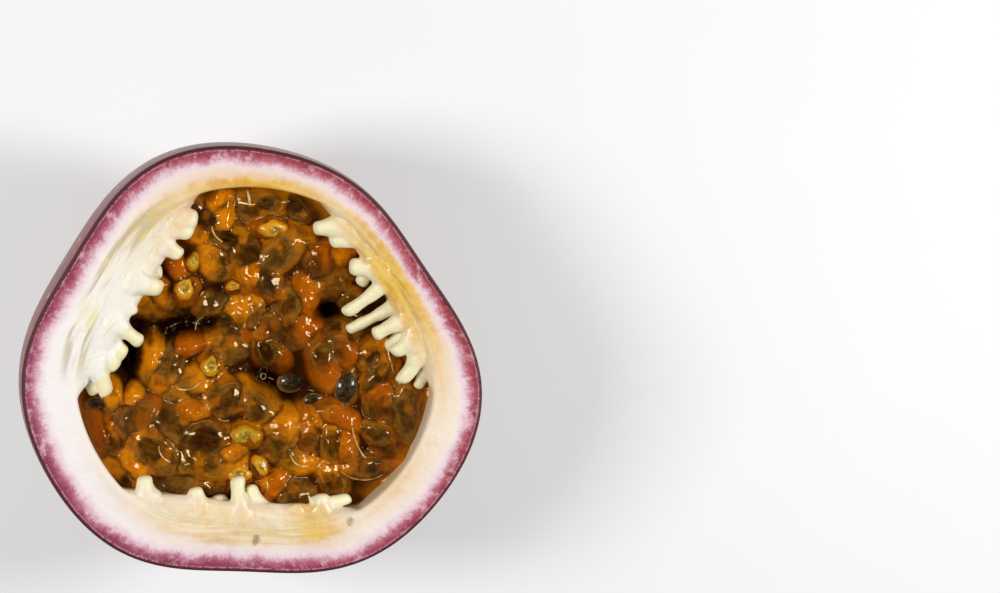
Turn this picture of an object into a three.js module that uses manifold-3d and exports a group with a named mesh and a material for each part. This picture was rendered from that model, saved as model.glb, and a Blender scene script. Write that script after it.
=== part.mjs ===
// Half a passion fruit, cut across its middle and lying on its round end.
//
// Millimetres, +Z up. The fruit's own axis stands upright, and the cut face is
// level and on top. The origin lies on the surface that the fruit rests on,
// under the middle of its outline. Angles run anticlockwise from +X, seen from
// above, in degrees where a size is named and in radians in the functions.
//
// Two solids make it up: the rind, with the pith, the three placentas and their
// funicles grown onto it, and the heap of pulp-filled arils inside.

import * as THREE from 'three';
import { mergeVertices } from 'three/addons/utils/BufferGeometryUtils.js';
import Module from 'manifold-3d';

const wasm = await Module();
wasm.setup();

const radians = THREE.MathUtils.degToRad;
const lerp = THREE.MathUtils.lerp;

// The whole fruit and where it is cut
const CUT_RADIUS = 28.4;
const FRUIT_HALF_LENGTH = 31.5;
const EQUATOR_Z = 30.7;
const CUT_Z = 35.2;
const EDGE_CHAMFER = 0.35;
const LOBE_FADE = 0.5;
const SKIN_LOBES = [
  { count: 2, size: 0.91, turn: -26 },
  { count: 3, size: 1.5, turn: -27 },
  { count: 4, size: 0.13, turn: 6 },
  { count: 6, size: 0.46, turn: -3 },
];

// The hollow inside the pith
const RIM_RADIUS = 22.8;
const HOLLOW_DEPTH = 25.7;
const RIM_LOBES = [
  { count: 1, size: 0.86, turn: 56 },
  { count: 2, size: 0.39, turn: -36 },
  { count: 3, size: 0.6, turn: -26 },
  { count: 6, size: 0.16, turn: -2 },
];

// The placentas: ridges down the hollow's wall
const RIDGE_SHELF = 2.4;
const RIDGE_POWER = 4;
const PLACENTAS = [
  { turn: 30, reach: 38, bulge: 2.1 },
  { turn: 147, reach: 41, bulge: 5.0 },
  { turn: 265, reach: 43, bulge: 3.7 },
];

// The funicles, which grow on the placentas' edges and hold the arils. Each row is
// one: angle of its root about the axis, length from the wall, lean off straight
// inwards, depth of its root under the cut, and radius.
const FUNICLES = [
  [114, 2.0, 60, 1.5, 1.0],
  [117, 2.3, 35, 1.5, 0.9],
  [124, 2.7, 19, 1.6, 0.86],
  [136, 2.1, 48, 3.4, 0.8],
  [141, 3.4, 16, 1.5, 1.08],
  [150, 1.8, -35, 1.6, 0.6],
  [160, 4.2, -14, 1.5, 0.88],
  [169, 2.3, -21, 2.6, 0.95],
  [174, 2.1, -32, 2.2, 0.92],
  [178, 3.9, -58, 1.5, 0.94],
  [182, 2.4, -66, 3.3, 0.85],
  [58, 3.7, -50, 1.5, 1.02],
  [53, 2.9, -31, 1.6, 0.86],
  [39, 3.6, -41, 1.5, 1.1],
  [40, 3.2, 16, 3.2, 0.8],
  [33, 6.9, 12, 1.5, 0.84],
  [23, 7.4, 7, 3.3, 0.78],
  [18, 4.8, 10, 1.6, 0.9],
  [13, 3.8, 19, 3.3, 0.8],
  [11, 3.6, 34, 1.5, 0.92],
  [5, 4.6, 62, 1.6, 0.95],
  [-2, 2.3, 69, 3.0, 0.62],
  [229, 2.3, 49, 1.5, 0.86],
  [249, 2.4, 38, 1.6, 0.8],
  [257, 1.2, 30, 3.0, 0.8],
  [266, 4.5, 16, 1.5, 0.92],
  [273, 3.0, 14, 2.6, 0.86],
  [288, 0.9, -10, 1.6, 0.62],
  [297, 1.9, -26, 1.8, 0.82],
  [298, 3.8, -94, 2.2, 0.76],
];
const FUNICLE_ROOT = 1.4;
const FUNICLE_DROOP = 0.12;
const FUNICLE_BEND = 0.015;
const FUNICLE_SIDES = 6;

// The pulp: its level, the swells and hollows of its top, and its arils
const PULP_Z = 29.2;
const GAP = 0.35;
const PIP_GAP = 0.7;
const SWELLS = [
  { at: [-4.6, -9.0], across: [8.5, 6.0], rise: 2.0 },
  { at: [4.0, 15.0], across: [7.0, 3.5], rise: 0.9 },
  { at: [13.0, -8.0], across: [4.5, 6.0], rise: 0.6 },
  { at: [-7.9, 6.3], across: [6.5, 2.4], rise: -3.0 },
  { at: [4.7, -2.2], across: [3.2, 2.8], rise: -1.6 },
  { at: [10.9, 7.0], across: [2.0, 2.4], rise: -2.2 },
];

// The ripe arils. Each row is one: its place on the bed, half its length, half its
// width, and the turn of its length. Their tops lie level above the bed.
const ARILS = [
  [-3.7, 21.3, 1.9, 1.5, 60],
  [-7.2, 21.0, 1.9, 1.3, 120],
  [-5.2, 19.6, 1.9, 1.3, 150],
  [-3.3, 19.6, 1.7, 1.1, 80],
  [-6.3, 17.5, 1.8, 1.3, 160],
  [-2.3, 17.4, 2.9, 2.2, 180],
  [-0.1, 15.1, 2.5, 1.9, 135],
  [-3.8, 13.5, 2.8, 2.0, 165],
  [-9.2, 12.9, 2.2, 1.2, 120],
  [-4.5, 8.8, 2.2, 1.9, 240],
  [-0.8, 8.6, 3.1, 1.7, 80],
  [0.6, 12.9, 1.9, 1.1, 70],
  [-11.0, 9.8, 2.3, 1.6, 140],
  [-9.0, 7.6, 2.1, 1.4, 170],
  [-13.7, 8.0, 2.5, 1.5, 125],
  [-12.0, 5.6, 2.0, 1.3, 20],
  [-5.4, 5.6, 2.0, 1.2, 20],
  [-2.2, 2.6, 2.9, 2.1, 165],
  [-1.6, 5.6, 2.2, 1.4, 10],
  [1.2, 21.2, 3.0, 1.6, 0],
  [6.0, 21.0, 2.2, 1.3, 140],
  [4.2, 15.4, 3.2, 2.0, 35],
  [7.6, 17.2, 1.9, 1.5, 45],
  [9.0, 14.0, 2.7, 1.8, 50],
  [12.1, 15.0, 1.6, 1.2, 20],
  [11.3, 10.9, 3.2, 2.4, 40],
  [2.6, 11.2, 2.2, 1.4, 300],
  [4.9, 8.2, 2.3, 1.8, 270],
  [0.9, 7.8, 2.2, 1.0, 85],
  [7.3, 10.6, 2.6, 1.2, 285],
  [7.0, 4.6, 3.0, 2.4, 20],
  [3.3, 5.0, 2.5, 1.7, 190],
  [13.6, 8.9, 1.6, 1.1, 30],
  [12.0, 4.2, 2.6, 1.5, 10],
  [2.5, 2.4, 2.1, 1.5, 120],
  [9.9, 0.1, 2.9, 1.5, 285],
  [12.7, 2.0, 2.3, 1.7, 320],
  [15.9, 1.7, 2.0, 1.4, 60],
  [17.6, 3.0, 1.6, 1.1, 60],
  [19.4, -0.6, 2.2, 1.2, 110],
  [17.3, -5.0, 3.0, 2.1, 100],
  [20.8, -6.4, 3.7, 1.6, 95],
  [17.3, -0.8, 2.5, 1.1, 50],
  [16.6, -8.9, 1.9, 1.2, 330],
  [18.2, -11.3, 2.4, 1.4, 325],
  [15.6, -13.4, 2.7, 1.3, 180],
  [12.6, -10.2, 2.2, 1.5, 110],
  [12.3, -6.9, 2.4, 1.2, 330],
  [10.7, -9.8, 2.2, 1.2, 90],
  [3.9, -9.2, 3.0, 2.4, 60],
  [7.8, -9.2, 3.0, 1.6, 95],
  [9.0, -6.6, 1.7, 1.1, 110],
  [6.2, -12.4, 2.3, 1.3, 335],
  [6.5, -17.0, 2.5, 2.3, 270],
  [11.0, -14.7, 2.4, 1.4, 120],
  [2.9, -15.2, 2.2, 1.5, 30],
  [-12.8, 1.0, 2.2, 1.1, 85],
  [-9.8, 0.6, 3.2, 2.5, 250],
  [-8.2, 3.0, 2.0, 1.1, 15],
  [-7.6, -2.9, 2.8, 1.6, 25],
  [-7.6, -5.4, 1.9, 1.1, 0],
  [-2.9, -4.3, 3.3, 2.2, 0],
  [-11.1, -6.3, 1.5, 0.9, 60],
  [-9.5, -7.0, 2.4, 1.8, 130],
  [-13.9, -5.9, 2.8, 1.8, 30],
  [-14.9, -3.7, 1.6, 0.9, 85],
  [-12.7, -10.2, 3.7, 2.4, 130],
  [-14.4, -12.9, 1.8, 1.1, 140],
  [-5.6, -8.9, 3.1, 2.0, 0],
  [-6.0, -12.0, 3.4, 1.7, 355],
  [-9.6, -15.0, 2.9, 1.8, 200],
  [-4.8, -15.3, 1.7, 1.1, 170],
  [-2.6, -11.0, 1.6, 1.0, 30],
  [-19.3, -7.8, 2.7, 1.4, 110],
  [-17.6, -8.2, 2.8, 1.2, 95],
  [-16.8, -13.3, 2.5, 1.2, 125],
  [-17.2, -3.6, 2.0, 1.4, 100],
  [1.7, -4.3, 3.0, 1.7, 135],
];
const ARIL_THICKNESS = 0.88;
const ARIL_TOP = 2.0;
const ARIL_TOP_VARIATION = 0.45;
const ARIL_TILT = 14;

// Unripe arils, small and round, in rows like the ripe ones
const YOUNG_ARILS = [
  [-8.2, 10.5, 1.6, 1.45, 80],
  [3.1, 18.3, 2.0, 1.4, -5],
  [-4.9, 0.3, 1.5, 1.35, 70],
  [-0.5, -8.6, 2.1, 1.4, -5],
  [1.3, -12.7, 1.5, 1.1, -60],
  [-1.5, -13.8, 1.9, 1.2, -5],
  [-7.1, 14.0, 1.3, 0.9, 80],
  [-2.0, 10.7, 0.9, 0.8, 0],
];
const YOUNG_THICKNESS = 0.95;
const YOUNG_TOP = 2.6;

// Seeds washed bare, in rows like the arils
const BARE_SEEDS = [
  [6.2, -2.1, 1.9, 1.7, 20],
  [12.9, -2.8, 2.6, 1.6, 80],
  [8.6, -4.4, 1.3, 0.8, 10],
  [-19.6, -4.2, 1.3, 0.8, 5],
];
const SEED_THICKNESS = 0.62;
const BARE_SEED_TOP = 1.5;

// Least half height of anything on the bed, so that it is rooted in it
const LEAST_HALF_HEIGHT = 1.3;

// How finely the turned surfaces are divided
const SIDES = 60;
const SKIN_RINGS = 8;
const SHELF_RINGS = 3;
const WALL_RINGS = 7;
const TOP_RINGS = 5;

// An even but irregular draw between 0 and 1, the same each time
function chance(index, stream) {
  const wave = Math.sin(index * 12.9898 + stream * 78.233) * 43758.5453;
  return wave - Math.floor(wave);
}

// Same draw, between -size and +size
function scatter(index, stream, size) {
  return (2 * chance(index, stream) - 1) * size;
}

// ---- Form of the fruit ----------------------------------------------------

// A wavy outline's radius: the lobes fade from the cut down to the pole
function lobedRadius(mean, lobes, angle, z) {
  const kept = 1 - (LOBE_FADE * (CUT_Z - z)) / CUT_Z;
  const wave = (sum, lobe) => sum + lobe.size * Math.cos(lobe.count * (angle - radians(lobe.turn)));
  return mean + kept * lobes.reduce(wave, 0);
}

// Width of an oval at a height, as a share of its width at the cut
function ovalShare(z, halfLength) {
  const width = (height) => Math.sqrt(Math.max(0, 1 - ((height - EQUATOR_Z) / halfLength) ** 2));
  return width(z) / width(CUT_Z);
}

function skinRadius(angle, z) {
  return lobedRadius(CUT_RADIUS, SKIN_LOBES, angle, z) * ovalShare(z, FRUIT_HALF_LENGTH);
}

// Signed turn from one angle to another, the short way
function turnBetween(from, to) {
  return Math.atan2(Math.sin(to - from), Math.cos(to - from));
}

// How far the placentas stand in from the wall at the cut's level
function ridgeBulge(angle) {
  let bulge = 0;
  for (const placenta of PLACENTAS) {
    const off = turnBetween(radians(placenta.turn), angle) / radians(placenta.reach);
    bulge += placenta.bulge * Math.max(0, 1 - Math.abs(off) ** RIDGE_POWER);
  }
  return bulge;
}

// Share of that bulge at a height: a sloping shelf under the cut, then a long fade
function ridgeShare(z) {
  const depth = CUT_Z - z;
  const floorDepth = CUT_Z - EQUATOR_Z + HOLLOW_DEPTH;
  const shelf = Math.sin((Math.PI / 2) * Math.min(1, depth / RIDGE_SHELF));
  const fade = 1 - Math.max(0, depth - RIDGE_SHELF) / (floorDepth - RIDGE_SHELF);
  return shelf * Math.max(0, fade);
}

function wallRadius(angle, z, clearance = 0) {
  const oval = ovalShare(z, HOLLOW_DEPTH - clearance);
  const wall = lobedRadius(RIM_RADIUS, RIM_LOBES, angle, z) * oval;
  return wall - ridgeBulge(angle) * ridgeShare(z) - clearance;
}

// A height on the hollow's wall: share 0 is its floor, share 1 is the top given
function wallHeight(share, top, clearance = 0) {
  const depth = HOLLOW_DEPTH - clearance;
  const topSweep = Math.acos((EQUATOR_Z - top) / depth);
  return EQUATOR_Z - depth * Math.cos(share * topSweep);
}

// The outline's middle, as seen from the fruit's axis, so that the origin lies under it
function outlineMiddle() {
  const bounds = new THREE.Box2();
  for (let side = 0; side < SIDES; side += 1) {
    const angle = (2 * Math.PI * side) / SIDES;
    const radius = skinRadius(angle, EQUATOR_Z);
    bounds.expandByPoint(new THREE.Vector2(radius * Math.cos(angle), radius * Math.sin(angle)));
  }
  return bounds.getCenter(new THREE.Vector2());
}

// ---- Solids ---------------------------------------------------------------

// A closed geometry as a manifold-3d solid
function solidOf(geometry) {
  geometry.deleteAttribute('normal');
  geometry.deleteAttribute('uv');
  const merged = mergeVertices(geometry, 1e-4);
  const corners = merged.index.array;
  const kept = [];
  for (let i = 0; i < corners.length; i += 3) {
    const [a, b, c] = corners.slice(i, i + 3);
    if (a !== b && b !== c && c !== a) {
      kept.push(a, b, c);
    }
  }
  const vertProperties = new Float32Array(merged.attributes.position.array);
  const triVerts = new Uint32Array(kept);
  return new wasm.Manifold(new wasm.Mesh({ numProp: 3, vertProperties, triVerts }));
}

function geometryOf(solid) {
  const { vertProperties, triVerts } = solid.getMesh();
  const geometry = new THREE.BufferGeometry();
  geometry.setAttribute('position', new THREE.BufferAttribute(vertProperties, 3));
  geometry.setIndex(new THREE.BufferAttribute(triVerts, 1));
  geometry.computeVertexNormals();
  return geometry;
}

// The largest piece of a solid, without loose scraps and sealed hollows
function mainPieceOf(solid) {
  const largest = (best, piece) => (piece.volume() > best.volume() ? piece : best);
  return solid.decompose().reduce(largest);
}

// A body turned about the fruit's axis. Each ring gives [radius, height] for an
// angle; the first and last rings are points on the axis.
function turnedBody(rings) {
  const last = rings.length - 1;
  const profile = rings.map((_, i) => new THREE.Vector2(i === 0 || i === last ? 0 : 1, i));
  const geometry = new THREE.LatheGeometry(profile, SIDES);
  const position = geometry.attributes.position;
  for (let i = 0; i < position.count; i += 1) {
    const angle = Math.atan2(position.getX(i), position.getZ(i));
    const [radius, height] = rings[Math.round(position.getY(i))](angle);
    position.setXYZ(i, radius * Math.cos(angle), radius * Math.sin(angle), height);
  }
  return solidOf(geometry);
}

// ---- Rind, pith and placentas ---------------------------------------------

// Rings of the skin from the flat spot that it rests on up to the cut
function skinRings() {
  const start = Math.acos(EQUATOR_Z / FRUIT_HALF_LENGTH);
  const end = Math.acos((EQUATOR_Z - CUT_Z + EDGE_CHAMFER) / FRUIT_HALF_LENGTH);
  const rings = [];
  for (let i = 0; i <= SKIN_RINGS; i += 1) {
    const sweep = lerp(start, end, i / SKIN_RINGS);
    const z = EQUATOR_Z - FRUIT_HALF_LENGTH * Math.cos(sweep);
    rings.push((angle) => [skinRadius(angle, z), z]);
  }
  rings.push((angle) => [skinRadius(angle, CUT_Z) - EDGE_CHAMFER, CUT_Z]);
  return rings;
}

// Rings of the hollow from the cut down over the placentas to its floor
function hollowRings() {
  const heights = [];
  for (let i = 0; i < SHELF_RINGS; i += 1) {
    heights.push(CUT_Z - (RIDGE_SHELF * i) / SHELF_RINGS);
  }
  for (let i = WALL_RINGS; i > 0; i -= 1) {
    heights.push(wallHeight(i / WALL_RINGS, CUT_Z - RIDGE_SHELF));
  }
  return heights.map((z) => (angle) => [wallRadius(angle, z), z]);
}

// A row of the funicles' table, with its angles in radians
function funicleOf([angle, length, lean, depth, radius]) {
  const turn = radians(angle);
  return { angle: turn, z: CUT_Z - depth, heading: turn + Math.PI + radians(lean), length, radius };
}

// One funicle: a blunt peg, rooted in its ridge, whose tip hangs a little
function funicleSolid({ angle, z, heading, length, radius }, clearance = 0) {
  const reach = length + clearance;
  const thick = radius + clearance;
  const profile = [
    new THREE.Vector2(0, -FUNICLE_ROOT),
    new THREE.Vector2(1.2 * thick, -FUNICLE_ROOT),
    new THREE.Vector2(0.95 * thick, 0.5 * reach),
    new THREE.Vector2(0.95 * thick, reach - 0.7 * radius),
    new THREE.Vector2(0.55 * thick, reach - 0.15 * radius),
    new THREE.Vector2(0, reach),
  ];
  const along = new THREE.Vector3(Math.cos(heading), Math.sin(heading), 0);
  const up = new THREE.Vector3(0, 0, 1);
  const side = new THREE.Vector3().crossVectors(along, up);
  const rootRadius = wallRadius(angle, z);
  const root = new THREE.Vector3(rootRadius * Math.cos(angle), rootRadius * Math.sin(angle), z);
  const geometry = new THREE.LatheGeometry(profile, FUNICLE_SIDES);
  geometry.applyMatrix4(new THREE.Matrix4().makeBasis(side, along, up));
  const position = geometry.attributes.position;
  for (let i = 0; i < position.count; i += 1) {
    const vertex = new THREE.Vector3().fromBufferAttribute(position, i);
    const distance = Math.max(0, vertex.dot(along));
    vertex.z -= (FUNICLE_DROOP + FUNICLE_BEND * distance) * distance;
    vertex.add(root);
    position.setXYZ(i, vertex.x, vertex.y, vertex.z);
  }
  return solidOf(geometry);
}

function allFunicles() {
  return FUNICLES.map(funicleOf);
}

function rindSolid() {
  const floorZ = EQUATOR_Z - HOLLOW_DEPTH;
  let rind = turnedBody([() => [0, 0], ...skinRings(), ...hollowRings(), () => [0, floorZ]]);
  for (const funicle of allFunicles()) {
    rind = rind.add(funicleSolid(funicle));
  }
  return mainPieceOf(rind);
}

// ---- Pulp -----------------------------------------------------------------

// Height of the pulp's bed, on which the arils lie
function bedHeight(x, y) {
  let z = PULP_Z;
  for (const { at, across, rise } of SWELLS) {
    const u = (x - at[0]) / across[0];
    const v = (y - at[1]) / across[1];
    z += rise * Math.exp(-(u * u + v * v));
  }
  return z;
}

function bedHeightAt(angle, radius) {
  return bedHeight(radius * Math.cos(angle), radius * Math.sin(angle));
}

// The bed: it fills the hollow, a gap off the wall, up to the heap's hollows and swells
function bedSolid() {
  const floorZ = EQUATOR_Z - HOLLOW_DEPTH + GAP;
  const edgeHeight = (angle) => bedHeightAt(angle, wallRadius(angle, PULP_Z, GAP));
  const rings = [() => [0, floorZ]];
  for (let i = 1; i <= WALL_RINGS; i += 1) {
    rings.push((angle) => {
      const z = wallHeight(i / WALL_RINGS, edgeHeight(angle), GAP);
      return [wallRadius(angle, z, GAP), z];
    });
  }
  for (let i = TOP_RINGS; i > 0; i -= 1) {
    rings.push((angle) => {
      const radius = (wallRadius(angle, edgeHeight(angle), GAP) * i) / (TOP_RINGS + 1);
      return [radius, bedHeightAt(angle, radius)];
    });
  }
  rings.push(() => [0, bedHeight(0, 0)]);
  return turnedBody(rings);
}

// The room for arils: the hollow, a little further off its wall, straight up to the cut
function roomSolid() {
  const shelfZ = CUT_Z - RIDGE_SHELF;
  const rings = [() => [0, EQUATOR_Z - HOLLOW_DEPTH + PIP_GAP]];
  for (let i = 1; i <= WALL_RINGS; i += 1) {
    const z = wallHeight(i / WALL_RINGS, shelfZ, PIP_GAP);
    rings.push((angle) => [wallRadius(angle, z, PIP_GAP), z]);
  }
  rings.push((angle) => [wallRadius(angle, shelfZ, PIP_GAP), CUT_Z]);
  rings.push(() => [0, CUT_Z]);
  return turnedBody(rings);
}

// A ball stretched to half axes, turned, and set on the bed with its top at a height
function pip([x, y, halfLength, halfWidth, turn], thickness, top, [pitch, roll] = [0, 0]) {
  const halfHeight = Math.max(halfWidth * thickness, LEAST_HALF_HEIGHT);
  const geometry = new THREE.OctahedronGeometry(1, 1);
  geometry.scale(halfLength, halfWidth, halfHeight);
  geometry.rotateY(radians(pitch));
  geometry.rotateX(radians(roll));
  geometry.rotateZ(radians(turn));
  geometry.translate(x, y, bedHeight(x, y) + top - halfHeight);
  return solidOf(geometry);
}

function ripeArils() {
  return ARILS.map((row, i) => {
    const tilts = [scatter(i, 14, ARIL_TILT), scatter(i, 15, ARIL_TILT)];
    return pip(row, ARIL_THICKNESS, ARIL_TOP + scatter(i, 12, ARIL_TOP_VARIATION), tilts);
  });
}

function youngArils() {
  return YOUNG_ARILS.map((row) => pip(row, YOUNG_THICKNESS, YOUNG_TOP));
}

function bareSeeds() {
  return BARE_SEEDS.map((row) => pip(row, SEED_THICKNESS, BARE_SEED_TOP));
}

function pulpSolid() {
  const pips = [...ripeArils(), ...youngArils(), ...bareSeeds()];
  const heap = pips.reduce((sum, part) => sum.add(part));
  let pulp = bedSolid().add(heap.intersect(roomSolid()));
  for (const funicle of allFunicles()) {
    pulp = pulp.subtract(funicleSolid(funicle, GAP));
  }
  return mainPieceOf(pulp);
}

// ---- Materials and the finished half --------------------------------------

function rindMaterial() {
  return new THREE.MeshStandardMaterial({ color: '#8c2730', roughness: 0.4, metalness: 0 });
}

function pulpMaterial() {
  return new THREE.MeshStandardMaterial({ color: '#a8650f', roughness: 0.12, metalness: 0 });
}

function namedMesh(name, solid, material) {
  const mesh = new THREE.Mesh(geometryOf(solid), material);
  mesh.name = name;
  return mesh;
}

const half = new THREE.Group();
half.add(namedMesh('rind', rindSolid(), rindMaterial()));
half.add(namedMesh('pulp', pulpSolid(), pulpMaterial()));
const middle = outlineMiddle();
half.position.set(-middle.x, -middle.y, 0);

export default half;
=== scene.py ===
"""Half a passion fruit: its rind, placentas, arils, seeds and juice, on a pale floor.

Lengths in the classes are millimetres, angles are degrees, and the meshes are made
in metres. The fruit's own axis stands upright and the cut face is on top.
"""

from __future__ import annotations

import logging
import math
from collections.abc import Sequence
from dataclasses import dataclass
from enum import Enum, IntEnum

import bmesh
import bpy
import numpy as np
from mathutils import Matrix, Vector, noise


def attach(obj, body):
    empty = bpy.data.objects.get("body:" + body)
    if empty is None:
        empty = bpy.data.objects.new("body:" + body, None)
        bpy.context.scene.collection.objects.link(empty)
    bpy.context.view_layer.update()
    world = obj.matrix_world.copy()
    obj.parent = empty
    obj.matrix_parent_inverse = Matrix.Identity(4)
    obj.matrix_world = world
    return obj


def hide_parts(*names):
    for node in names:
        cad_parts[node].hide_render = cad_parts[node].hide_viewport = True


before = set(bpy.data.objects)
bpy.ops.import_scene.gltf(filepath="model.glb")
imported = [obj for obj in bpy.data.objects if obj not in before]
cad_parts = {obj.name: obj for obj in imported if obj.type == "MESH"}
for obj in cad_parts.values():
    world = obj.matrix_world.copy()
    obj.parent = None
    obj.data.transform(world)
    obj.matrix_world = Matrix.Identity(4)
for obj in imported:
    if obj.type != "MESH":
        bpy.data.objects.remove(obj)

LOG = logging.getLogger("passion_fruit")
MM = 0.001
BODY = "root"
WHITE = (1.0, 1.0, 1.0, 1.0)
Array = np.ndarray
Mesh = bpy.types.Mesh
Object = bpy.types.Object
Material = bpy.types.Material
Triple = tuple[float, float, float]


class Part(Enum):
    """The model's parts. Each is a solid of the frame."""

    RIND = "rind"
    PULP = "pulp"


class Draw(IntEnum):
    """Streams of the irregular draws, one for each property that varies."""

    PEG_CURL = 5
    ARIL_TOP = 12
    ARIL_PITCH = 14
    ARIL_ROLL = 15
    ARIL_HUE = 17
    YOUNG_PITCH = 21
    YOUNG_ROLL = 22
    YOUNG_HUE = 23
    SEED_LENGTH = 32
    SEED_WIDTH = 33
    SEED_TURN = 34


class Pattern(IntEnum):
    """Patterns of the noise that gives surfaces their relief."""

    RIND = 1
    RIND_GRAIN = 2
    SEED_PITS = 3
    YOUNG_LUMPS = 4
    JUICE = 5
    YOUNG_GRAIN = 5
    RIPPLES = 6
    PEGS = 8
    PAD_LUMPS = 9
    PAD_SWELL = 10
    SWAY_X = 11
    SWAY_Y = 12


# ---- Numbers ------------------------------------------------------------------

DRAW_FACTORS = (12.9898, 78.233, 43758.5453)
PATTERN_SHIFT = 17.3


def chance(index: int, stream: Draw) -> float:
    """Even but irregular draw from 0 to 1, for one property of one thing."""
    wave = math.sin(index * DRAW_FACTORS[0] + stream * DRAW_FACTORS[1]) * DRAW_FACTORS[2]
    return wave - math.floor(wave)


def scatter(index: int, stream: Draw, size: float) -> float:
    """The same draw, spread evenly from -size to +size."""
    return (2 * chance(index, stream) - 1) * size


def perlin(points: Array, feature: float, pattern: Pattern) -> Array:
    """Smooth noise from about -1 to 1 at each point, with features of a size in mm."""
    scaled = points.reshape(-1, 3) / feature + pattern * PATTERN_SHIFT
    return np.array([noise.noise(row) for row in scaled.tolist()]).reshape(points.shape[:-1])


def smooth_step(low: float, high: float, value: Array) -> Array:
    """Smooth rise from 0 at low to 1 at high."""
    share = np.clip((value - low) / (high - low), 0.0, 1.0)
    return share * share * (3 - 2 * share)


def linear(code: str) -> tuple[float, ...]:
    """Scene-linear colour of a six-digit web colour such as "#a1b2c3"."""
    parts = [int(code[i : i + 2], 16) / 255 for i in (1, 3, 5)]
    return (*(p / 12.92 if p <= 0.04045 else ((p + 0.055) / 1.055) ** 2.4 for p in parts), 1.0)


def columns(*values: Array | float) -> Array:
    """Rows that hold what several arrays have at the same place."""
    return np.stack(np.broadcast_arrays(*values), axis=-1)


def polar(radius: Array | float, angle: Array | float, z: Array | float) -> Array:
    """Points at a distance and a direction from the axis, and a height."""
    return columns(radius * np.cos(angle), radius * np.sin(angle), z)


def circle(sides: int) -> Array:
    """Directions that go once round in equal steps."""
    return np.arange(sides) * 2 * math.pi / sides


def bearing(angle: Array, turn: float, reach: float) -> Array:
    """How far directions lie off one in degrees, as a share of a reach in degrees."""
    gap = angle - math.radians(turn)
    return np.arctan2(np.sin(gap), np.cos(gap)) / math.radians(reach)


def way(tilt: float, turn: float) -> Vector:
    """Direction at a tilt off straight up and a turn round the axis."""
    tilt, turn = math.radians(tilt), math.radians(turn)
    return Vector((math.sin(tilt) * math.cos(turn), math.sin(tilt) * math.sin(turn), math.cos(tilt)))


# ---- Form of the fruit ----------------------------------------------------------


@dataclass(frozen=True)
class Lobe:
    """One wave round an outline: how many crests, how high, and where one lies."""

    count: int
    size: float
    turn: float


@dataclass(frozen=True)
class Placenta:
    """One of the three ridges down the hollow's wall."""

    turn: float
    reach: float
    bulge: float


@dataclass(frozen=True)
class Swell:
    """A rise or a hollow in the pulp's top, with its half sizes."""

    x: float
    y: float
    wide: float
    deep: float
    rise: float

    def lift(self, x: Array, y: Array) -> Array:
        """What it adds to the height at each place."""
        u, v = (x - self.x) / self.wide, (y - self.y) / self.deep
        return self.rise * np.exp(-(u * u + v * v))


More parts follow.
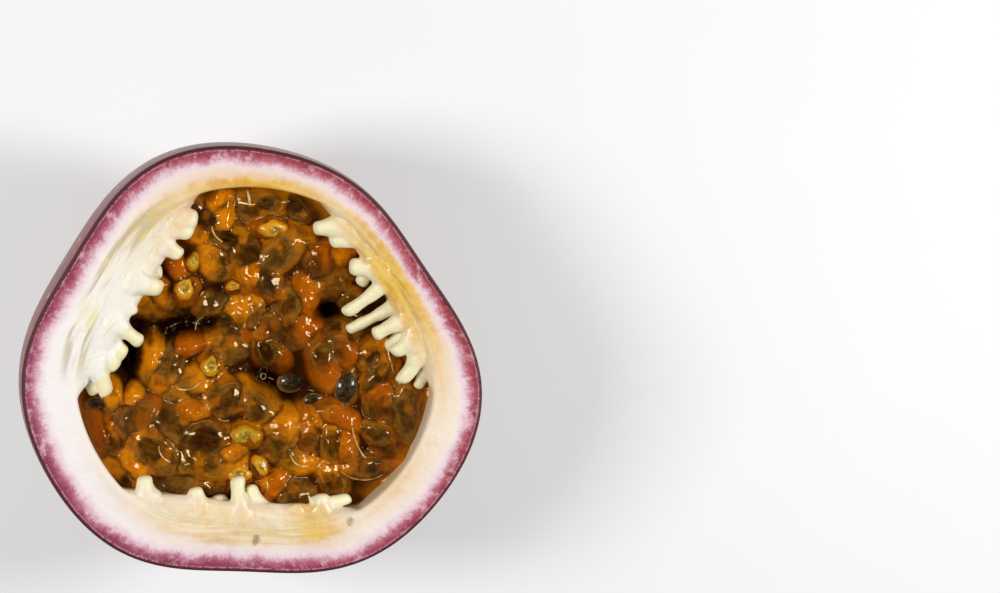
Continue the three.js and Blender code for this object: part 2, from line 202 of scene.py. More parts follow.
@dataclass(frozen=True)
class FruitForm:
    """Form of the half, about the fruit's own axis: skin, hollow and pulp level."""

    cut_radius: float = 28.4
    half_length: float = 31.5
    equator_z: float = 30.7
    cut_z: float = 35.2
    edge_chamfer: float = 0.35
    lobe_fade: float = 0.5
    rim_radius: float = 22.8
    hollow_depth: float = 25.7
    ridge_shelf: float = 2.4
    ridge_power: float = 4.0
    pulp_z: float = 29.2
    skin_lobes: tuple[Lobe, ...] = (
        Lobe(2, 0.91, -26), Lobe(3, 1.5, -27), Lobe(4, 0.13, 6), Lobe(6, 0.46, -3),
    )
    rim_lobes: tuple[Lobe, ...] = (
        Lobe(1, 0.86, 56), Lobe(2, 0.39, -36), Lobe(3, 0.6, -26), Lobe(6, 0.16, -2),
    )
    placentas: tuple[Placenta, ...] = (Placenta(30, 38, 2.1), Placenta(147, 41, 5.0), Placenta(265, 43, 3.7))
    swells: tuple[Swell, ...] = (
        Swell(-4.6, -9.0, 8.5, 6.0, 2.0),
        Swell(4.0, 15.0, 7.0, 3.5, 0.9),
        Swell(13.0, -8.0, 4.5, 6.0, 0.6),
        Swell(-7.9, 6.3, 6.5, 2.4, -3.0),
        Swell(4.7, -2.2, 3.2, 2.8, -1.6),
        Swell(10.9, 7.0, 2.0, 2.4, -2.2),
    )

    def lobed_radius(self, mean: float, lobes: Sequence[Lobe], angle: Array, z: Array) -> Array:
        """Radius of a wavy outline, whose lobes fade from the cut to the pole."""
        wave = sum(lobe.size * np.cos(lobe.count * (angle - math.radians(lobe.turn))) for lobe in lobes)
        return mean + (1 - self.lobe_fade * (self.cut_z - z) / self.cut_z) * wave

    def oval_share(self, z: Array, half_length: float) -> Array:
        """Width of an oval at a height, as a share of its width at the cut."""
        here, cut = (1 - ((height - self.equator_z) / half_length) ** 2 for height in (z, self.cut_z))
        return np.sqrt(np.maximum(0, here)) / np.sqrt(cut)

    def skin_radius(self, angle: Array, z: Array) -> Array:
        """Radius of the skin."""
        lobed = self.lobed_radius(self.cut_radius, self.skin_lobes, angle, z)
        return lobed * self.oval_share(z, self.half_length)

    def ridge_bulge(self, angle: Array) -> Array:
        """How far the placentas stand in from the wall near the cut."""
        offs = [np.abs(bearing(angle, p.turn, p.reach)) ** self.ridge_power for p in self.placentas]
        return sum(p.bulge * np.maximum(0, 1 - off) for p, off in zip(self.placentas, offs))

    def ridge_share(self, z: Array) -> Array:
        """Share of the bulge at a height: a shelf under the cut, then a long fade.

        Args:
            z: Heights.

        Returns:
            A number from 0 to 1 for each.
        """
        depth = self.cut_z - z
        full = self.cut_z - self.floor_z()
        shelf = np.sin(math.pi / 2 * np.minimum(1, depth / self.ridge_shelf))
        fade = 1 - np.maximum(0, depth - self.ridge_shelf) / (full - self.ridge_shelf)
        return shelf * np.maximum(0, fade)

    def wall_radius(self, angle: Array, z: Array) -> Array:
        """Radius of the hollow's wall, with the placentas."""
        lobed = self.lobed_radius(self.rim_radius, self.rim_lobes, angle, z)
        return lobed * self.oval_share(z, self.hollow_depth) - self.ridge_bulge(angle) * self.ridge_share(z)

    def bed_height(self, x: Array, y: Array) -> Array:
        """Height of the bed that the arils lie on."""
        return sum((swell.lift(x, y) for swell in self.swells), self.pulp_z + 0 * x)

    def floor_z(self) -> float:
        """Height of the hollow's floor."""
        return self.equator_z - self.hollow_depth

    def axis_place(self) -> Vector:
        """Where the fruit's axis stands, so that the outline's middle is over the origin.

        Returns:
            The place in the frame in mm.
        """
        angle = np.radians(np.arange(0, 360, 6))
        sides = polar(self.skin_radius(angle, self.equator_z), angle, 0.0)
        return Vector(-(sides.max(axis=0) + sides.min(axis=0)) / 2)


# ---- Meshes ---------------------------------------------------------------------


def to_frame(points: Array, form: FruitForm) -> Array:
    """Moves points from the fruit's axis to the frame, and from mm to metres."""
    return (points + np.array(form.axis_place())) * MM


def vertex_places(mesh: Mesh) -> Array:
    """The mesh's vertices as rows.

    Args:
        mesh: Any mesh.

    Returns:
        Their places in its own units.
    """
    co = np.empty(3 * len(mesh.vertices))
    mesh.vertices.foreach_get("co", co)
    return co.reshape(-1, 3)


def from_frame(mesh: Mesh, form: FruitForm) -> Array:
    """Vertices of a mesh in the frame, from the fruit's axis and in mm."""
    return vertex_places(mesh) / MM - np.array(form.axis_place())


def linked(name: str, data: bpy.types.ID) -> Object:
    """Makes an object at the origin and links it into the scene.

    Args:
        name: The object's name.
        data: Its mesh, light or camera.

    Returns:
        The object.
    """
    made = bpy.data.objects.new(name, data)
    bpy.context.scene.collection.objects.link(made)
    return made


def turned_mesh(name: str, form: FruitForm, rings: Array, start: Array, end: Array) -> Mesh:
    """Closed mesh in the frame, from rings of points and a point at each end.

    Args:
        name: The mesh's name.
        form: The fruit's form.
        rings: Points as rings by sides by 3, with faces outwards if the rings run
            up the outside and down the inside.
        start: The point that closes the first ring.
        end: The point that closes the last ring.

    Returns:
        The mesh, whose vertices are start, every ring in order, and end.
    """
    count, sides, _ = rings.shape
    verts = to_frame(np.vstack([start, rings.reshape(-1, 3), end]), form)
    index = 1 + np.arange(count * sides).reshape(count, sides)
    after = np.roll(index, -1, axis=1)
    quads = columns(index[:-1], after[:-1], after[1:], index[1:]).reshape(-1, 4)
    first_fan = columns(0, after[0], index[0])
    last_fan = columns(len(verts) - 1, index[-1], after[-1])
    mesh = bpy.data.meshes.new(name)
    mesh.from_pydata(verts.tolist(), [], first_fan.tolist() + quads.tolist() + last_fan.tolist())
    return mesh


def joined_mesh(name: str, parts: Sequence[Mesh]) -> Mesh:
    """One mesh that holds the faces of several, which are removed.

    Args:
        name: The new mesh's name.
        parts: The meshes.

    Returns:
        The new mesh.
    """
    verts, faces, start = [], [], 0
    for part in parts:
        verts.append(vertex_places(part))
        faces.extend(tuple(start + v for v in p.vertices) for p in part.polygons)
        start += len(part.vertices)
        bpy.data.meshes.remove(part)
    mesh = bpy.data.meshes.new(name)
    mesh.from_pydata(np.vstack(verts).tolist(), [], faces)
    return mesh


def store(mesh: Mesh, **layers: Array) -> None:
    """Stores numbers or vectors on the vertices.

    Args:
        mesh: The mesh.
        **layers: A row for each vertex, by the attribute's name.
    """
    for name, values in layers.items():
        kind, field = ("FLOAT_VECTOR", "vector") if values.ndim > 1 else ("FLOAT", "value")
        layer = mesh.attributes.new(name, kind, "POINT")
        layer.data.foreach_set(field, values.astype(np.float32).ravel())


def freeze(piece: Object) -> None:
    """Replaces an object's mesh by its evaluated mesh and drops its modifiers.

    Args:
        piece: The object.
    """
    graph = bpy.context.evaluated_depsgraph_get()
    mesh = bpy.data.meshes.new_from_object(piece.evaluated_get(graph))
    old = piece.data
    piece.modifiers.clear()
    piece.data = mesh
    bpy.data.meshes.remove(old)
    mesh.name = piece.name


def hand_in(piece: Object, part: Part) -> None:
    """Puts a finished piece into the frame and reports it.

    Args:
        piece: The piece.
        part: What it stands for; the model's piece of that name is hidden.
    """
    piece.data.shade_smooth()
    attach(piece, BODY)
    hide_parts(part.value)
    LOG.info("%s: %d faces", piece.name, len(piece.data.polygons))


# ---- Shaders --------------------------------------------------------------------


class Sock:
    """A shader socket that takes part in sums, with Math nodes made as needed."""

    def __init__(self, shader: Shader, socket: bpy.types.NodeSocket) -> None:
        """Wraps a node's output."""
        self.shader = shader
        self.socket = socket

    def math(self, operation: str, *values: Sock | float) -> Sock:
        """Result of a Math node of one operation on values."""
        return self.shader.node("Math", dict(enumerate(values)), operation=operation)

    def __add__(self, other: Sock | float) -> Sock:
        """Sum."""
        return self.math("ADD", self, other)

    def __mul__(self, other: Sock | float) -> Sock:
        """Product."""
        return self.math("MULTIPLY", self, other)

    def __sub__(self, other: Sock | float) -> Sock:
        """Difference."""
        return self.math("SUBTRACT", self, other)

    def __rsub__(self, other: float) -> Sock:
        """Difference from a number."""
        return self.math("SUBTRACT", other, self)

    def __pow__(self, power: float) -> Sock:
        """Power."""
        return self.math("POWER", self, power)

    __radd__ = __add__
    __rmul__ = __mul__

    def least(self, other: Sock | float) -> Sock:
        """Smaller of the two."""
        return self.math("MINIMUM", self, other)

    def most(self, other: Sock | float) -> Sock:
        """Larger of the two."""
        return self.math("MAXIMUM", self, other)

    def swing(self, size: float) -> Sock:
        """Noise from 0 to 1, made to run from -size / 2 to size / 2."""
        return (self - 0.5) * size

    def step(self, low: float, high: float) -> Sock:
        """Smooth rise from 0 at low to 1 at high; a fall if low is the higher.

        Args:
            low: Where it is 0.
            high: Where it is 1.

        Returns:
            A number from 0 to 1.
        """
        inputs = {"Value": self, "From Min": min(low, high), "From Max": max(low, high)}
        rise = self.shader.node("MapRange", inputs, interpolation_type="SMOOTHSTEP")
        return 1 - rise if low > high else rise


class Shader:
    """A procedural material and the ways its nodes are made."""

    def __init__(self, name: str) -> None:
        """Starts an empty material.

        Args:
            name: Its name.
        """
        self.material = bpy.data.materials.new(name)
        self.material.use_nodes = True
        self.tree = self.material.node_tree
        self.tree.nodes.clear()

    def node(
        self, kind: str, inputs: dict[str | int, object], output: str | int = 0, **settings: object
    ) -> Sock:
        """Makes one node.

        Args:
            kind: The node's type, without what all shader nodes begin with.
            inputs: Values, web colours or Socks for its sockets, by name or number.
            output: Which of its outputs is returned.
            **settings: Its properties, which are set first.

        Returns:
            That output.
        """
        made = self.tree.nodes.new("ShaderNode" + kind)
        for name, value in settings.items():
            setattr(made, name, value)
        for name, value in inputs.items():
            if isinstance(value, Sock):
                self.tree.links.new(value.socket, made.inputs[name])
            else:
                made.inputs[name].default_value = linear(value) if isinstance(value, str) else value
        return Sock(self, made.outputs[output])

    def attribute(self, name: str, output: str = "Fac") -> Sock:
        """A value stored on the mesh."""
        return self.node("Attribute", {}, output, attribute_name=name)

    def part(self, vector: Sock, index: int) -> Sock:
        """One of a vector's three numbers."""
        return self.node("SeparateXYZ", {0: vector}, index)

    def stored(self, name: str) -> list[Sock]:
        """The three numbers of a vector stored on the mesh."""
        return [self.part(self.attribute(name, "Vector"), i) for i in range(3)]

    def place(self) -> Sock:
        """Place on the piece, in mm."""
        return self.scaled(self.node("TexCoord", {}, "Object"), (1 / MM, 1 / MM, 1 / MM))

    def scaled(self, vector: Sock, factors: Triple) -> Sock:
        """A vector times a factor on each axis."""
        return self.node("VectorMath", {0: vector, 1: factors}, operation="MULTIPLY")

    def moved(self, vector: Sock, by: Sock) -> Sock:
        """The sum of two vectors."""
        return self.node("VectorMath", {0: vector, 1: by}, operation="ADD")

    def off(self, vector: Sock, point: Triple) -> Sock:
        """Distance of a vector from a point."""
        return self.node("VectorMath", {0: vector, 1: point}, "Value", operation="DISTANCE")

    def noise(self, vector: Sock, feature: float, detail: float = 2.0, rough: float = 0.5) -> Sock:
        """Noise from 0 to 1 with features of a size in the vector's own units."""
        inputs = {"Vector": vector, "Scale": 1 / feature, "Detail": detail, "Roughness": rough}
        return self.node("TexNoise", inputs, "Fac")

    def wobbly(self, vector: Sock, scale: float, size: float) -> Sock:
        """A vector bent out of true by noise of a scale, by up to a size."""
        bend = self.node("TexNoise", {"Vector": vector, "Scale": scale, "Detail": 2.0}, "Color")
        return self.moved(vector, self.scaled(bend, (size, size, size)))

    def cells(self, vector: Sock, scale: float, output: str = "Distance", feature: str = "F1") -> Sock:
        """An irregular pattern of cells."""
        return self.node("TexVoronoi", {"Vector": vector, "Scale": scale}, output, feature=feature)

    def mix(self, share: Sock, first: Sock | str, second: Sock | str) -> Sock:
        """Blend of two colours, given as Socks or web colours."""
        return self.node("Mix", {0: share, 6: first, 7: second}, 2, data_type="RGBA")

    def layered(self, colour: Sock | str, *layers: tuple[Sock, Sock | str]) -> Sock:
        """A colour with others painted over it.

        Args:
            colour: What lies at the bottom.
            *layers: How much shows of each colour over it, and that colour.

        Returns:
            The colour on top.
        """
        for share, over in layers:
            colour = self.mix(share, colour, over)
        return colour

    def bump(self, height: Sock, distance: float) -> Sock:
        """Relief from a height; distance is in mm."""
        return self.node("Bump", {"Height": height, "Distance": distance * MM}, "Normal")

    def finish(self, colour: Sock, roughness: Sock | float, others: dict[str, object]) -> Material:
        """Makes the surface shader and connects it.

        Args:
            colour: Its base colour.
            roughness: Its roughness.
            others: Values or Socks for its other sockets.

        Returns:
            The finished material.
        """
        inputs = {"Base Color": colour, "Roughness": roughness, **others}
        surface = self.node("BsdfPrincipled", inputs)
        end = self.tree.nodes.new("ShaderNodeOutputMaterial")
        self.tree.links.new(surface.socket, end.inputs["Surface"])
        return self.material


# ---- Finishes -------------------------------------------------------------------


@dataclass(frozen=True)
class SkinFinish:
    """Waxy dark red skin, mottled, with tan specks."""

    deep: str = "#4c0a0f"
    red: str = "#84191c"
    bright: str = "#9c2e2e"
    speck: str = "#b98c72"
    speck_spacing: float = 2.3

    def material(self) -> Material:
        """Builds the material.

        Returns:
            The skin's material.
        """
        shader = Shader("skin")
        spot = shader.attribute("speck", "Vector")
        mottle = shader.noise(spot, 5.0, 4.0, 0.6)
        fine = shader.noise(spot, 0.7, 3.0, 0.6)
        shifted = shader.wobbly(spot, 1.6, 0.9)
        rate = 1 / self.speck_spacing
        size = shader.node("SeparateColor", {0: shader.cells(shifted, rate, "Color")})
        large = (shader.cells(shifted, rate) - size * size * 0.2).step(0.06, 0.0)
        dust = shader.cells(shifted, 2.4 / self.speck_spacing).step(0.16, 0.08)
        specks = large.most(dust * mottle.step(0.48, 0.58) * 0.7)
        colour = shader.layered(
            self.deep,
            (mottle.step(0.3, 0.7), self.red),
            (fine.step(0.35, 0.75) * 0.5, self.bright),
            (specks * 0.9, self.speck),
        )
        relief = shader.bump(fine * 0.5 + specks * 0.6, 0.05)
        wax = {"Normal": relief, "Coat Weight": 0.25, "Coat Roughness": 0.22}
        return shader.finish(colour, 0.34 + fine * 0.14, wax)


@dataclass(frozen=True)
class FleshFinish:
    """Pith and placentas, coloured by depth from the skin, with streaks and juice stains."""

    name: str = "flesh"
    roughness: float = 0.62
    glow: float = 0.25
    skin_line: str = "#4e1016"
    deep_pink: str = "#8a3450"
    deep_red: str = "#902a34"
    pink: str = "#a8506e"
    warm_pink: str = "#b04a54"
    light_pink: str = "#cf8a9e"
    blush: str = "#ecd3da"
    white: str = "#f6f0ef"
    ivory: str = "#f6e4c8"
    cream: str = "#f6f0e4"
    peg: str = "#f7edc2"
    stain: str = "#ecc352"
    deep_stain: str = "#dda02a"
    peach: str = "#e4be98"
    hollow: str = "#8a6034"
    juice: str = "#bc8038"
    # Grey-beige of the placentas' streaks, partly painted shade.
    grey: str = "#beb18c"
    lemon: str = "#e9dd8c"
    # Beige of the hollow's wall: partly its own tone, partly painted shade.
    wall: str = "#d9cba8"
    band_width: float = 2.1
    marks: tuple[Triple, ...] = ((12.5, -20.9, 34.9), (0.1, -23.2, 34.9))

    def material(self) -> Material:
        """Builds the material.

        Returns:
            The flesh's material.
        """
        shader = Shader(self.name)
        band, tip = shader.attribute("band", "Vector"), shader.attribute("tip")
        depth, across, juicy = shader.stored("layers")
        warm, ridge, down = shader.stored("tone")
        pores = shader.noise(shader.place(), 0.22, 3.0, 0.6)
        waves = shader.noise(shader.place(), 1.1, 3.0)
        spikes = shader.noise(shader.scaled(band, (1.0, 1.0, 0.35)), 0.38, 4.0, 0.7)
        blots = shader.noise(band, 0.8, 4.0, 0.7)
        clouds = shader.noise(band, 1.6, 4.0, 0.65)
        drift = shader.noise(shader.scaled(band, (1.0, 1.0, 0.6)), 4.0)
        lines = shader.noise(shader.scaled(band, (0.09, 0.09, 1.0)), 0.75, 3.0)
        veins_and_shade = shader.noise(shader.scaled(band, (0.07, 0.07, 1.0)), 1.2)
        seam = shader.cells(shader.wobbly(band, 0.7, 2.4), 0.28, feature="DISTANCE_TO_EDGE")
        edge = depth + spikes.swing(0.8) + blots.swing(1.3) + pores.swing(0.7) + drift.swing(1.8)
        rim = depth + blots.swing(0.35)
        # A thin pale line just inside the skin line: the skin's papery edge, and a painted highlight on its
        # raised rim.
        paper_and_highlight = rim.step(0.36, 0.44) * rim.step(0.6, 0.5) * spikes.step(0.42, 0.5)
        shoulder = ridge * across.step(0.64, 0.78) * across.step(1.3, 1.1)
        lemon = lines.step(0.44, 0.38) * ridge * drift.step(0.48, 0.56) * across.step(0.6, 0.8)
        patchy = (clouds * 0.6 + drift * 0.6 + lines * 0.4).step(0.45, 0.8)
        tint = shader.mix((clouds + lines - 0.5).step(0.4, 0.75) * 0.9, self.stain, self.deep_stain)
        stained = juicy * (across + clouds.swing(0.3)).step(0.62, 0.85) * tip.step(1.3, 0.2)
        outline = seam.step(0.14, 0.0) * stained * ridge * down.step(1.6, 0.8) * clouds.step(0.4, 0.6)
        wet = (down + clouds.swing(1.4)).step(4.2, 5.8)
        marks = [shader.off(shader.place(), mark) for mark in self.marks]
        width = self.band_width
        colour = shader.layered(
            shader.mix(warm, self.deep_pink, self.deep_red),
            (edge.step(0.5, 1.4), shader.mix(warm, self.pink, self.warm_pink)),
            (blots.step(0.55, 0.75) * 0.4, self.light_pink),
            (edge.step(width - 1.3, width - 0.2) * 0.55, self.light_pink),
            (edge.step(width - 0.8, width + 0.4), self.blush),
            (edge.step(width + 0.1, width + 1.3), self.white),
            (warm * edge.step(width + 0.3, width + 1.4) * 0.85, self.ivory),
            (clouds.step(0.5, 0.75) * edge.step(width + 3.4, width) * 0.55, self.blush),
            (juicy * across.step(0.15, 0.7) * edge.step(width, width + 1.2) * 0.75, self.peach),
            (across.step(0.8, 1.1) * 0.85, self.cream),
            (tip.step(0.2, 1.4), self.peg),
            # The hollow's wall goes beige lower down: partly its own tone, partly painted shade deeper in
            # the hollow.
            (down.step(0.8, 3.5) * across.step(1.25, 1.0) * 0.8, self.wall),
            # Grey veins and lines on the placentas' shoulders: the tissue's streaks, and painted shade in
            # the hollows between their ridges.
            (veins_and_shade.step(0.44, 0.56) * shoulder * 0.85, self.grey),
            (lines.step(0.47, 0.68) * shoulder * 0.5, self.grey),
            (lemon * 0.6, self.lemon),
            ((stained * (0.25 + patchy * 0.7)).least(1.0), tint),
            (outline * 1.4, self.stain),
            (wet * 0.55, self.juice),
            *(((off + clouds.swing(2.2)).step(0.7, 0.1) * 0.7, self.hollow) for off in marks),
            ((depth + spikes.swing(0.2)).step(0.5, 0.3), self.skin_line),
            # Papery edge and painted highlight, in light pink.
            (paper_and_highlight * 0.7, self.light_pink),
        )
        soft = {
            "Normal": shader.bump(pores * 0.3 + waves + lines * ridge * 0.6, 0.14),
            "Subsurface Weight": self.glow,
            "Subsurface Radius": (1.0, 0.6, 0.4),
            "Subsurface Scale": 0.6 * MM,
        }
        return shader.finish(colour, self.roughness - stained.most(wet) * 0.3, soft)


@dataclass(frozen=True)
class SacFinish:
    """Wet sacs: smoky jelly over the seeds, orange membrane, and painted shade in the folds and low places
    between them.
    """

    olive: str = "#582c03"
    amber: str = "#8a4704"
    smoke: str = "#4a3412"
    seed: str = "#180902"
    halo: str = "#826428"
    orange: str = "#ac5604"
    bright: str = "#d68208"
    red: str = "#a04004"
    brown: str = "#622a02"
    rim: str = "#a9741c"
    # Dark brown painted shade, for the folds between sacs and for the juice away from the wall.
    fold: str = "#321002"
    juice: str = "#a25f08"
    # Near-black painted shade for the pulp's low places, coming in between the two heights that follow.
    depth: str = "#180501"
    painted_shade_z: tuple[float, float] = (27.2, 30.6)

    def material(self) -> Material:
        """Builds the material.

        Returns:
            The sacs' material.
        """
        shader = Shader("sacs")
        own, look = (shader.attribute(name, "Vector") for name in ("own", "look"))
        spot, near = shader.place(), shader.attribute("near")
        height = shader.part(spot, 2)
        along, across, seed = shader.stored("own")
        cover, pale, hue = shader.stored("look")
        gap, sunk, juice = shader.stored("fold")
        broad, drape = shader.noise(spot, 4.0), shader.noise(spot, 2.6)
        soft, fine = shader.noise(spot, 1.4, 4.0, 0.65), shader.noise(spot, 0.42, 4.0, 0.65)
        shifted = shader.moved(own, shader.scaled(look, (5.0, 7.0, 9.0)))
        streaks = shader.noise(shader.scaled(shifted, (0.35, 1.5, 0.0)), 0.3)
        far = (along * along + across * across) ** 0.5
        blurred = seed + soft.swing(0.36) + fine.swing(0.12)
        halo = blurred.step(1.3, 1.05) * blurred.step(0.8, 1.0)
        body = shader.layered(
            self.olive,
            ((soft + hue.swing(0.5)).step(0.35, 0.7), self.amber),
            (streaks.step(0.45, 0.8) * 0.22, self.rim),
            (blurred.step(1.9, 0.9) * 0.75, self.smoke),
            (pale * soft.step(0.3, 0.6) * 0.5, self.halo),
            (halo * soft.step(0.35, 0.6) * 0.5, self.halo),
            (blurred.step(1.1, 0.6) * (0.95 - pale * 0.8), self.seed),
        )
        membrane = shader.layered(
            self.orange,
            ((soft + hue.swing(0.6)).step(0.3, 0.75), self.bright),
            (fine.step(0.5, 0.75) * 0.6, self.red),
            ((streaks + (broad - 0.5)).step(0.5, 0.9) * 0.4, self.brown),
        )
        bridged = drape.step(0.5, 0.66)
        ragged = soft.swing(1.5) + streaks.swing(0.3)
        veil = (streaks * 0.6 + soft * 0.4 + broad * 0.5).step(0.6, 1.0) * 0.5
        skin = (along + ragged * 0.8 + cover * 2.4 - 1.35).step(-0.5, 0.6)
        skin = skin.most(veil * (0.3 + cover)).most(bridged * 0.55)
        skin = skin.most((far + ragged * 0.3).step(0.85, 1.1) * 0.6)
        ring = far + soft.swing(0.25)
        ring = ring.step(0.78, 0.86) * ring.step(0.94, 0.86)
        # Painted shade in the folds where two sacs meet, less where membrane bridges them.
        painted_crease_shade = gap.step(0.8, 0.0) * (1 - bridged) * (0.35 + broad.step(0.4, 0.6) * 0.5)
        # Painted shade: the low and sunken places of the pulp go near-black, less so by the wall.
        deep = (height + soft.swing(1.2)).step(self.painted_shade_z[1], self.painted_shade_z[0])
        deep = deep.most(sunk.step(0.9, 2.4) * 0.8) * (1 - near * 0.7)
        colour = shader.layered(
            body,
            (skin, membrane),
            (ring * broad.step(0.42, 0.56) * 0.75, self.rim),
            (painted_crease_shade, self.fold),
            # Juice: painted shade between the sacs, and its own amber where it lies shallow by the wall.
            (juice * 0.85, shader.mix(near.step(0.1, 0.8), self.fold, self.juice)),
            (deep, self.depth),
        )
        wet = {
            "Normal": shader.bump(shader.noise(spot, 0.9, 1.0, 0.4) * (0.3 + skin * 0.7), 0.11),
            "Specular Tint": (1.0, 0.78, 0.45, 1.0),
            "IOR": 1.38,
            "Coat Weight": 0.04,
            "Coat Roughness": 0.03,
            "Subsurface Weight": 0.35,
            "Subsurface Radius": (1.0, 0.4, 0.06),
            "Subsurface Scale": 0.5 * MM,
        }
        return shader.finish(colour, 0.055, wet)


@dataclass(frozen=True)
class SeedFinish:
    """Dark, pitted seed coat, olive towards its rim."""

    dark: str = "#1a1206"
    olive: str = "#3a2a0e"
    rim: str = "#8a6a2c"

    def material(self) -> Material:
        """Builds the material.

        Returns:
            The seeds' material.
        """
        shader = Shader("seed")
        pits = shader.noise(shader.place(), 0.45, 3.0, 0.6)
        ragged = shader.stored("own")[2] + pits.swing(0.9)
        colour = shader.layered(
            self.dark, (pits.step(0.4, 0.65), self.olive), (ragged.step(0.72, 0.3) * 0.85, self.rim)
        )
        coat = {
            "Normal": shader.bump(pits, 0.16),
            "Specular IOR Level": 0.2,
            "Specular Tint": (1.0, 0.8, 0.5, 1.0),
            "Coat Weight": 0.5,
            "Coat Roughness": 0.05,
        }
        return shader.finish(colour, 0.22, coat)


@dataclass(frozen=True)
class ThreadAndHighlightFinish:
    """Wet amber membrane, drawn out thin, in a pale amber that is partly a painted highlight."""

    amber: str = "#bc8834"
    pale: str = "#e6cc90"

    def material(self) -> Material:
        """Builds the material.

        Returns:
            The threads' material.
        """
        shader = Shader("thread")
        # Amber and pale amber; the pale is partly painted highlight.
        colour = shader.mix(shader.noise(shader.place(), 1.2).step(0.4, 0.65), self.amber, self.pale)
        return shader.finish(colour, 0.12, {"Subsurface Weight": 0.3, "Subsurface Scale": 0.4 * MM})


@dataclass(frozen=True)
class YoungArilFinish:
    """Opaque yellow of an unripe aril, mottled grey-green in its dimple."""

    yellow: str = "#dc9a16"
    orange: str = "#c26c08"
    green: str = "#b8941e"
    tip: str = "#6a5c28"
    fleck: str = "#dcae38"

    def material(self) -> Material:
        """Builds the material.

        Returns:
            The young arils' material.
        """
        shader = Shader("young_aril")
        spot, tip, hue = shader.place(), shader.attribute("tip"), shader.attribute("hue")
        soft, grain = shader.noise(spot, 0.9, 3.0, 0.6), shader.noise(spot, 0.45, 2.0, 0.6)
        colour = shader.layered(
            self.yellow,
            ((soft + hue * 0.4 - 0.2).step(0.4, 0.75), self.green),
            ((shader.stored("own")[2] + (soft - 0.5)).step(0.85, 0.2), self.orange),
            ((tip + soft.swing(0.9)).step(0.2, 0.8) * 0.8, self.tip),
            ((grain + tip * 0.1).step(0.62, 0.7) * 0.8, self.fleck),
        )
        wet = {
            "Normal": shader.bump(soft * 0.6 + grain * 0.4, 0.16),
            "Specular Tint": (1.0, 0.8, 0.4, 1.0),
            "Coat Weight": 0.3,
            "Coat Roughness": 0.05,
            "Subsurface Weight": 0.3,
            "Subsurface Radius": (1.0, 0.6, 0.15),
            "Subsurface Scale": 0.5 * MM,
        }
        return shader.finish(colour, 0.2, wet)


@dataclass(frozen=True)
class FloorFinish:
    """Plain pale floor."""

    pale: str = "#d4d4d4"
    grey: str = "#d0d0d0"
    glow: float = 0.28

    def material(self) -> Material:
        """Builds the material.

        Returns:
            The floor's material.
        """
        shader = Shader("floor")
        colour = shader.mix(shader.noise(shader.place(), 40.0), self.pale, self.grey)
        return shader.finish(colour, 0.7, {"Emission Color": WHITE, "Emission Strength": self.glow})


# ---- Rind -----------------------------------------------------------------------

STAINS = ((32, 44, 1.0), (88, 38, 1.0), (262, 55, 0.45), (292, 14, 0.8), (322, 22, 0.4))
WARM_TURN = 35.0


def store_flesh(mesh: Mesh, form: FruitForm) -> None:
    """Stores what the flesh's finish reads.

    The layers are depth from the skin, share of the way across the cut and juice
    stain; the tone is warmth, nearness to a placenta and depth below the cut; lines
    of even band run round the fruit.

    Args:
        mesh: A mesh in the frame.
        form: The fruit's form.
    """
    x, y, z = from_frame(mesh, form).T
    angle, radius = np.arctan2(y, x), np.hypot(x, y)
    top = form.cut_z + 0 * angle
    outer, inner = form.skin_radius(angle, top), form.wall_radius(angle, top)
    down = np.maximum(0, top - z)
    across = np.clip((outer - radius) / (outer - inner), 0, 2)
    depth = outer - radius + down * smooth_step(0.8, 0.9, across)
    stains = [amount * np.exp(-(bearing(angle, turn, reach) ** 2) * 1.5) for turn, reach, amount in STAINS]
    tip = form.wall_radius(angle, top - form.ridge_shelf) - radius
    warm = 0.5 + 0.5 * np.cos(angle - math.radians(WARM_TURN))
    ridge = np.clip((form.ridge_bulge(angle) - 2.1) / 2.6, 0, 1)
    layers, tone = columns(depth, across, np.max(stains, axis=0)), columns(warm, ridge, down)
    store(mesh, tip=tip, layers=layers, tone=tone, band=polar(form.cut_radius, angle, depth))


